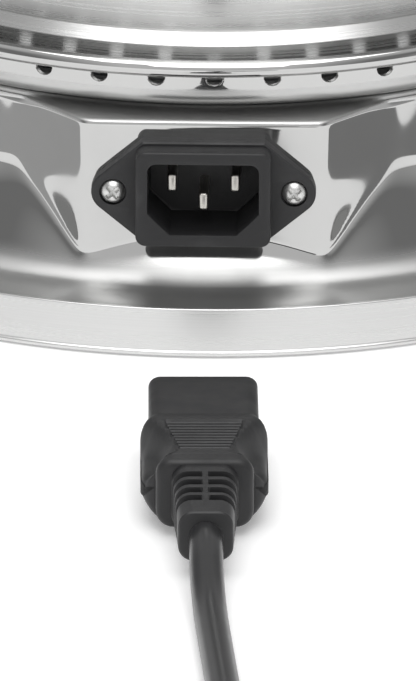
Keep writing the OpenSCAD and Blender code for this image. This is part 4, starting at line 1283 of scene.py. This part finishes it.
class KETTLE_OT_inlet(bpy.types.Operator):
    """Adds the mains inlet with its pins and its two screws"""

    bl_idname = "kettle.inlet"
    bl_label = "Mains inlet"

    def execute(self, context):
        self.housing()
        for node in ("inlet_line_pin", "inlet_neutral_pin", "inlet_earth_pin"):
            dressed(node, 0.55, 3)
        seat = low("inlet_screws").y + INLET_HEAD_H
        pan = screw("Inlet_screw", 2.65 * MM, INLET_HEAD_H, 9 * MM)
        transform(pan, spin(pi / 2, "X"), spin(radians(40)))
        transform(pan, Matrix.Translation((-INLET_SCREW_X, seat, INLET_Z)))
        place(copies("Inlet_screws", pan, 2, "bright_fastener", step=(2 * INLET_SCREW_X, 0, 0)),
              "inlet_screws")
        dressed("inlet_nuts", 0.2)
        return {"FINISHED"}

    def housing(self):
        """The collar with the inlet's mouth, and the flange with its two screw recesses."""
        front = -INLET_FRONT
        half_w, half_h = 14.9 * MM, 11 * MM
        mouth_w, mouth_h = 12.25 * MM, 8.2 * MM
        rear = high("inlet_housing").y
        loops = [cornered(13.4 * MM, 9.4 * MM, 1.5 * MM, 1.5 * MM, 1, y) for y in (rear, -PANEL_Y + 1 * MM)]
        loops += [cornered(half_w, half_h, 2.2 * MM, 2.2 * MM, 1, y)
                  for y in (-PANEL_Y + 1 * MM, -PANEL_Y, front + 2 * MM, front + 0.5 * MM)]
        for t in (30, 60, 90):
            inset = 0.5 * MM * (1 - cos(radians(t)))
            loops.append(cornered(half_w - inset, half_h - inset, 2.2 * MM, 2.2 * MM, 1,
                                  front + 0.5 * MM * (1 - sin(radians(t)))))
        for grow, deep in ((0.35, 0), (0.1, 0.1), (0, 0.35), (0, 4), (0, 8), (0, 12), (0, 15.7),
                           (-0.3, 16)):
            loops.append(cornered(mouth_w + grow * MM, mouth_h + grow * MM, 2 * MM, 5 * MM, 0.06,
                                  front + deep * MM))
        collar = loft("Inlet_collar", loops)

        flat = []
        for sx, a0 in ((1, -58), (-1, 122)):
            flat += arc(sx * INLET_SCREW_X, 0, 4.8 * MM, a0, a0 + 116, 16)
        hull = [(15.5, -9.7), (15.5, 9.7), (13.5, 11.7), (-13.5, 11.7), (-15.5, 9.7), (-15.5, -9.7),
                (-13.5, -11.7), (13.5, -11.7)]
        flat += [(x * MM, z * MM) for x, z in hull]
        bm = bmesh.new()
        for y in (-PANEL_Y, -PANEL_Y - 2.8 * MM):
            for x, z in flat:
                bm.verts.new((x, y, INLET_Z + z))
        for x, z in flat:
            bm.verts.new((x * 0.982, -PANEL_Y - 3.2 * MM, INLET_Z + z * 0.974))
        bmesh.ops.convex_hull(bm, input=bm.verts)
        loose = [v for v in bm.verts if not v.link_faces]
        bmesh.ops.delete(bm, geom=loose, context="VERTS")
        mesh = bpy.data.meshes.new("Inlet_flange")
        bm.to_mesh(mesh)
        bm.free()
        flange = add_object("Inlet_flange", mesh)
        seat = low("inlet_screws").y + INLET_HEAD_H
        for x in (-INLET_SCREW_X, INLET_SCREW_X):
            recess = rod("Recess", 3.0 * MM, 0, 6 * MM, 48)
            cut_away(flange, swing(recess, Vector((x, seat, INLET_Z)), "-Y"), 28)
        cut_away(flange, loft("Mouth", [cornered(13.6 * MM, 9.6 * MM, 2 * MM, 2 * MM, 1, y)
                                        for y in (-PANEL_Y - 8 * MM, -PANEL_Y + 5 * MM)]), 28)
        place(collar, "inlet_housing")
        place(flange, body="base", slot=SLOT_OF["inlet_housing"])


class KETTLE_OT_control(bpy.types.Operator):
    """Adds the control knob with its flutes, and the pilot lamp"""

    bl_idname = "kettle.control"
    bl_label = "Control"

    def execute(self, context):
        knob_r = (high("control_knob").x - low("control_knob").x) / 2
        base_y = low("control_knob").y
        deep = high("control_knob").y - base_y
        centre = Vector((0, base_y, KNOB_Z))
        outline = soften([(3 * MM, deep - 2 * MM), (0, deep - 2 * MM), (0, deep), (knob_r - 1.8 * MM, deep),
                          (knob_r - 0.9 * MM, deep - 1 * MM), (knob_r - 0.9 * MM, 2.4 * MM),
                          (knob_r, 1.6 * MM), (knob_r, 0), (8.2 * MM, 0), (8.2 * MM, 3.4 * MM),
                          (3 * MM, 3.4 * MM)], 0.5 * MM)
        knob = swing(lathe("Control_knob", outline, 128), centre)
        place(knob, "control_knob")
        flute = lathe("Flute", soften([(0, 2.6 * MM), (0.8 * MM, 2.6 * MM), (0.8 * MM, deep - 1.3 * MM),
                                       (0, deep - 1.3 * MM)], 0.5 * MM), 12)
        transform(flute, Matrix.Translation((knob_r - 1.0 * MM, 0, 0)))
        flutes = copies("Knob_flutes", flute, 30, "black_phenolic", turn_each=2 * pi / 30)
        place(swing(flutes, centre), body="knob", slot="black_phenolic")
        mark = make_object("Knob_mark", *bar_mesh(6 * MM, 0.5 * MM))
        transform(mark, Matrix.Translation(centre + Vector((0, deep - 0.2 * MM, -5.5 * MM))),
                  spin(pi / 2, "Y"), spin(-pi / 2, "X"))
        place(mark, body="knob", slot="white_silicone")
        for node, edge in (("pilot_lens", 0.3), ("pilot_holder", 0.3), ("thermostat_nut", 0.25),
                           ("control_thermostat", 0.4)):
            dressed(node, edge)
        return {"FINISHED"}


class KETTLE_OT_heating(bpy.types.Operator):
    """Dresses the heating plate and the parts under it"""

    bl_idname = "kettle.heating"
    bl_label = "Heating parts"

    def execute(self, context):
        for node, edge in (("heating_plate", 0.4), ("stud_nuts", 0.25), ("thermal_cutout", 0.2)):
            dressed(node, edge)
        return {"FINISHED"}


# ---------- kettle ----------
def shoulder_line(inset):
    """The kettle's wall and shoulder, from its foot to the filling opening."""
    steps = 28
    wall_top = 140 * MM
    reach = VESSEL_R - COLLAR_R + 1 * MM
    rise = 36 * MM
    points = [(VESSEL_R - inset, VESSEL_LOW + inset)]
    for i in range(steps + 1):
        a = pi / 2 * i / steps
        r = COLLAR_R - 1 * MM - inset + reach * cos(a)
        if r > COLLAR_R:
            points.append((r, wall_top + (rise - inset) * sin(a)))
    return points


class KETTLE_OT_vessel(bpy.types.Operator):
    """Adds the turned foot, the vessel, its collar and the spout"""

    bl_idname = "kettle.vessel"
    bl_label = "Vessel and spout"

    def execute(self, context):
        rim = RIM_TOP
        edge = rim + 2.3 * MM
        outline = soften([(0, FOOT_KETTLE_LOW), (FOOT_KETTLE_R - 0.4 * MM, FOOT_KETTLE_LOW),
                          (FOOT_KETTLE_R, FOOT_KETTLE_LOW + 0.4 * MM), (FOOT_KETTLE_R, rim),
                          (VESSEL_R + 0.5 * MM, edge), (VESSEL_R, edge), (VESSEL_R, rim), (0, rim)],
                         0.35 * MM)
        place(lathe("Kettle_foot", outline, 256), "capsule_base")

        outer = [(0, VESSEL_LOW)] + shoulder_line(0)
        inner = [(0, VESSEL_LOW + 1 * MM)] + shoulder_line(1 * MM)
        vessel = lathe("Vessel", outer + inner[::-1], 256)
        spout_hole_r, spout_hole_z = 14 * MM, 104 * MM
        drill = transform(rod("Drill", spout_hole_r, 0, 0.2, 64), Matrix.Translation((0, 0, spout_hole_z)),
                          spin(pi / 2, "Y"))
        cut_away(vessel, drill)
        place(vessel, "vessel_shell")

        wall = COLLAR_R - 1.4 * MM
        lip = soften([(wall, VESSEL_TOP - 4 * MM), (COLLAR_R, VESSEL_TOP - 4 * MM), (COLLAR_R, COLLAR_TOP),
                      (wall, COLLAR_TOP)], 0.5 * MM)
        place(lathe("Collar", lip, 192), "lid_collar")
        self.spout()
        return {"FINISHED"}

    def spout(self):
        """The spout: a bent tube that narrows, cut to the vessel's side, with its mouth leaning out."""
        root = Vector((78, 0, 101)) * MM
        mid = Vector((107, 0, 124)) * MM
        tip = Vector((124.5, 0, 159.6)) * MM
        mouth = Vector((sin(radians(25)), 0, cos(radians(25))))
        steps = 28
        sides = 64
        verts, faces = [], []
        for wall in (0.0, 1.2 * MM):
            for i in range(steps + 1):
                t = i / steps
                p = root * (1 - t) ** 2 + mid * 2 * t * (1 - t) + tip * t * t
                ahead = ((mid - root) * (1 - t) + (tip - mid) * t).normalized()
                if t > 0.9:
                    ahead = ahead.lerp(mouth, (t - 0.9) * 10)
                    ahead.normalize()
                side = Vector((0, 1, 0))
                up = side.cross(ahead)
                r = (16.2 - 9.4 * t + 2.1 * t ** 6) * MM - wall
                for k in range(sides):
                    a = 2 * pi * k / sides
                    verts.append(p + side * r * cos(a) + up * r * sin(a))
        rows = steps + 1
        for i in range(steps):
            faces += [quad[::-1] for quad in ring_faces(i, i + 1, sides)]
        for i in range(rows, rows + steps):
            faces += ring_faces(i, i + 1, sides)
        for row in (0, steps):
            faces += ring_faces(row, rows + row, sides)
        spout = make_object("Spout", verts, faces)
        cut_away(spout, rod("Core", VESSEL_R - 0.3 * MM, 0.07, 0.138, 192))
        place(spout, "spout")


class KETTLE_OT_handle(bpy.types.Operator):
    """Adds the arched handle, its grip, its brackets and their rivets"""

    bl_idname = "kettle.handle"
    bl_label = "Handle"

    def execute(self, context):
        path = [Vector((ARCH_R, 0, ARCH_LOW)), Vector((ARCH_R, 0, ARCH_Z - 1 * MM))]
        path += [Vector((ARCH_R * cos(pi * i / 48), 0, ARCH_Z + ARCH_R * sin(pi * i / 48)))
                 for i in range(49)]
        path += [Vector((-ARCH_R, 0, ARCH_Z - 1 * MM)), Vector((-ARCH_R, 0, ARCH_LOW))]
        place(sweep("Handle_arch", path, [ROD_R] * len(path), 36), "handle_arch")

        half = radians(50)
        steps = 96
        line, radii = [], []
        full = high("handle_grip").y
        for i in range(steps + 1):
            t = i / steps
            a = pi / 2 - half + 2 * half * t
            line.append(Vector((ARCH_R * cos(a), 0, ARCH_Z + ARCH_R * sin(a))))
            end = min(t, 1 - t)
            dome = sqrt(max(0.0, 1 - (1 - min(1.0, end / 0.03)) ** 2))
            wave = 0.35 * MM * cos(2 * pi * 7 * t) if 0.12 < t < 0.88 else 0.0
            radii.append(ROD_R + 0.8 * MM + (full - ROD_R - 1.2 * MM + wave) * dome)
        place(sweep("Handle_grip", line, radii, 48), "handle_grip")
        dressed("handle_brackets", 1.0, 3)
        dressed("bracket_rivets", 0.3)
        return {"FINISHED"}


class KETTLE_OT_lid(bpy.types.Operator):
    """Adds the lid, its seal and its knob"""

    bl_idname = "kettle.lid"
    bl_label = "Lid"

    def execute(self, context):
        plug_r = high("lid_seal").x
        dome = arc(0, 0, 1, 0, 90, 24)
        rise = LID_TOP - LID_Z - 1.2 * MM
        outline = [(1.7 * MM, LID_TOP)] + [(LID_R * x, LID_Z + 1.2 * MM + rise * z)
                                           for x, z in reversed(dome) if LID_R * x > 2 * MM]
        outline += [(LID_R, LID_Z + 0.3 * MM), (LID_R - 0.4 * MM, LID_Z), (plug_r - 1.4 * MM, LID_Z),
                    (plug_r - 1.4 * MM, LID_Z - 8 * MM), (plug_r - 2.4 * MM, LID_Z - 8 * MM),
                    (plug_r - 2.4 * MM, LID_Z + 1.6 * MM)]
        inside = plug_r - 2.4 * MM
        outline += [(inside * x, LID_Z + 1.6 * MM + (rise - 1.6 * MM) * z) for x, z in dome[1:]
                    if inside * x > 2 * MM]
        outline += [(1.7 * MM, LID_TOP - 1.6 * MM)]
        place(lathe("Lid", outline, 192), "lid_shell")

        base = LID_KNOB_LOW
        tall = LID_KNOB_TOP - base
        profile = [(1.5 * MM, 0), (7 * MM, 0), (6.2 * MM, 1.2 * MM), (5.2 * MM, 3.2 * MM),
                   (5.2 * MM, 5.4 * MM),
                   (7.5 * MM, 7.4 * MM), (11 * MM, 9.6 * MM), (12 * MM, 11.6 * MM), (11.8 * MM, 13.6 * MM),
                   (10 * MM, 15.6 * MM), (6 * MM, 16.7 * MM), (0, tall), (0, 7 * MM), (1.5 * MM, 7 * MM)]
        rounded = soften([(r, base + z) for r, z in profile], 3 * MM, 5)
        place(lathe("Lid_knob", rounded, 96), "lid_knob")
        dressed("lid_seal", 0)
        return {"FINISHED"}


class KETTLE_PT_panel(bpy.types.Panel):
    """Lists the kettle's sizes and pieces"""

    bl_idname = "KETTLE_PT_panel"
    bl_label = "Electric kettle"
    bl_space_type = "VIEW_3D"
    bl_region_type = "UI"
    bl_category = "Kettle"

    def draw(self, context):
        scene = context.scene
        for settings in (scene.kettle_stage, scene.kettle_finish, scene.kettle_lead):
            box = self.layout.box()
            for key in settings.bl_rna.properties.keys():
                if key not in ("rna_type", "name"):
                    box.prop(settings, key)
        for operator in OPERATORS:
            self.layout.operator(operator.bl_idname)


OPERATORS = (
    KETTLE_OT_stage, KETTLE_OT_lead, KETTLE_OT_base, KETTLE_OT_gallery, KETTLE_OT_inlet, KETTLE_OT_control,
    KETTLE_OT_heating, KETTLE_OT_vessel, KETTLE_OT_handle, KETTLE_OT_lid,
)
SETTINGS = (KettleStageSettings, KettleFinishSettings, KettleLeadSettings)
SCENE_SETTINGS = {"kettle_stage": SETTINGS[0], "kettle_finish": SETTINGS[1], "kettle_lead": SETTINGS[2]}


def register():
    for cls in (*SETTINGS, *OPERATORS, KETTLE_PT_panel):
        bpy.utils.register_class(cls)
    for name, cls in SCENE_SETTINGS.items():
        setattr(bpy.types.Scene, name, bpy.props.PointerProperty(type=cls))


def unregister():
    for name in SCENE_SETTINGS:
        delattr(bpy.types.Scene, name)
    for cls in reversed((*SETTINGS, *OPERATORS, KETTLE_PT_panel)):
        bpy.utils.unregister_class(cls)


def main():
    register()
    finish_nodes()
    for operator in OPERATORS:
        getattr(bpy.ops.kettle, operator.bl_idname.partition(".")[2])()


if __name__ == "__main__":
    main()
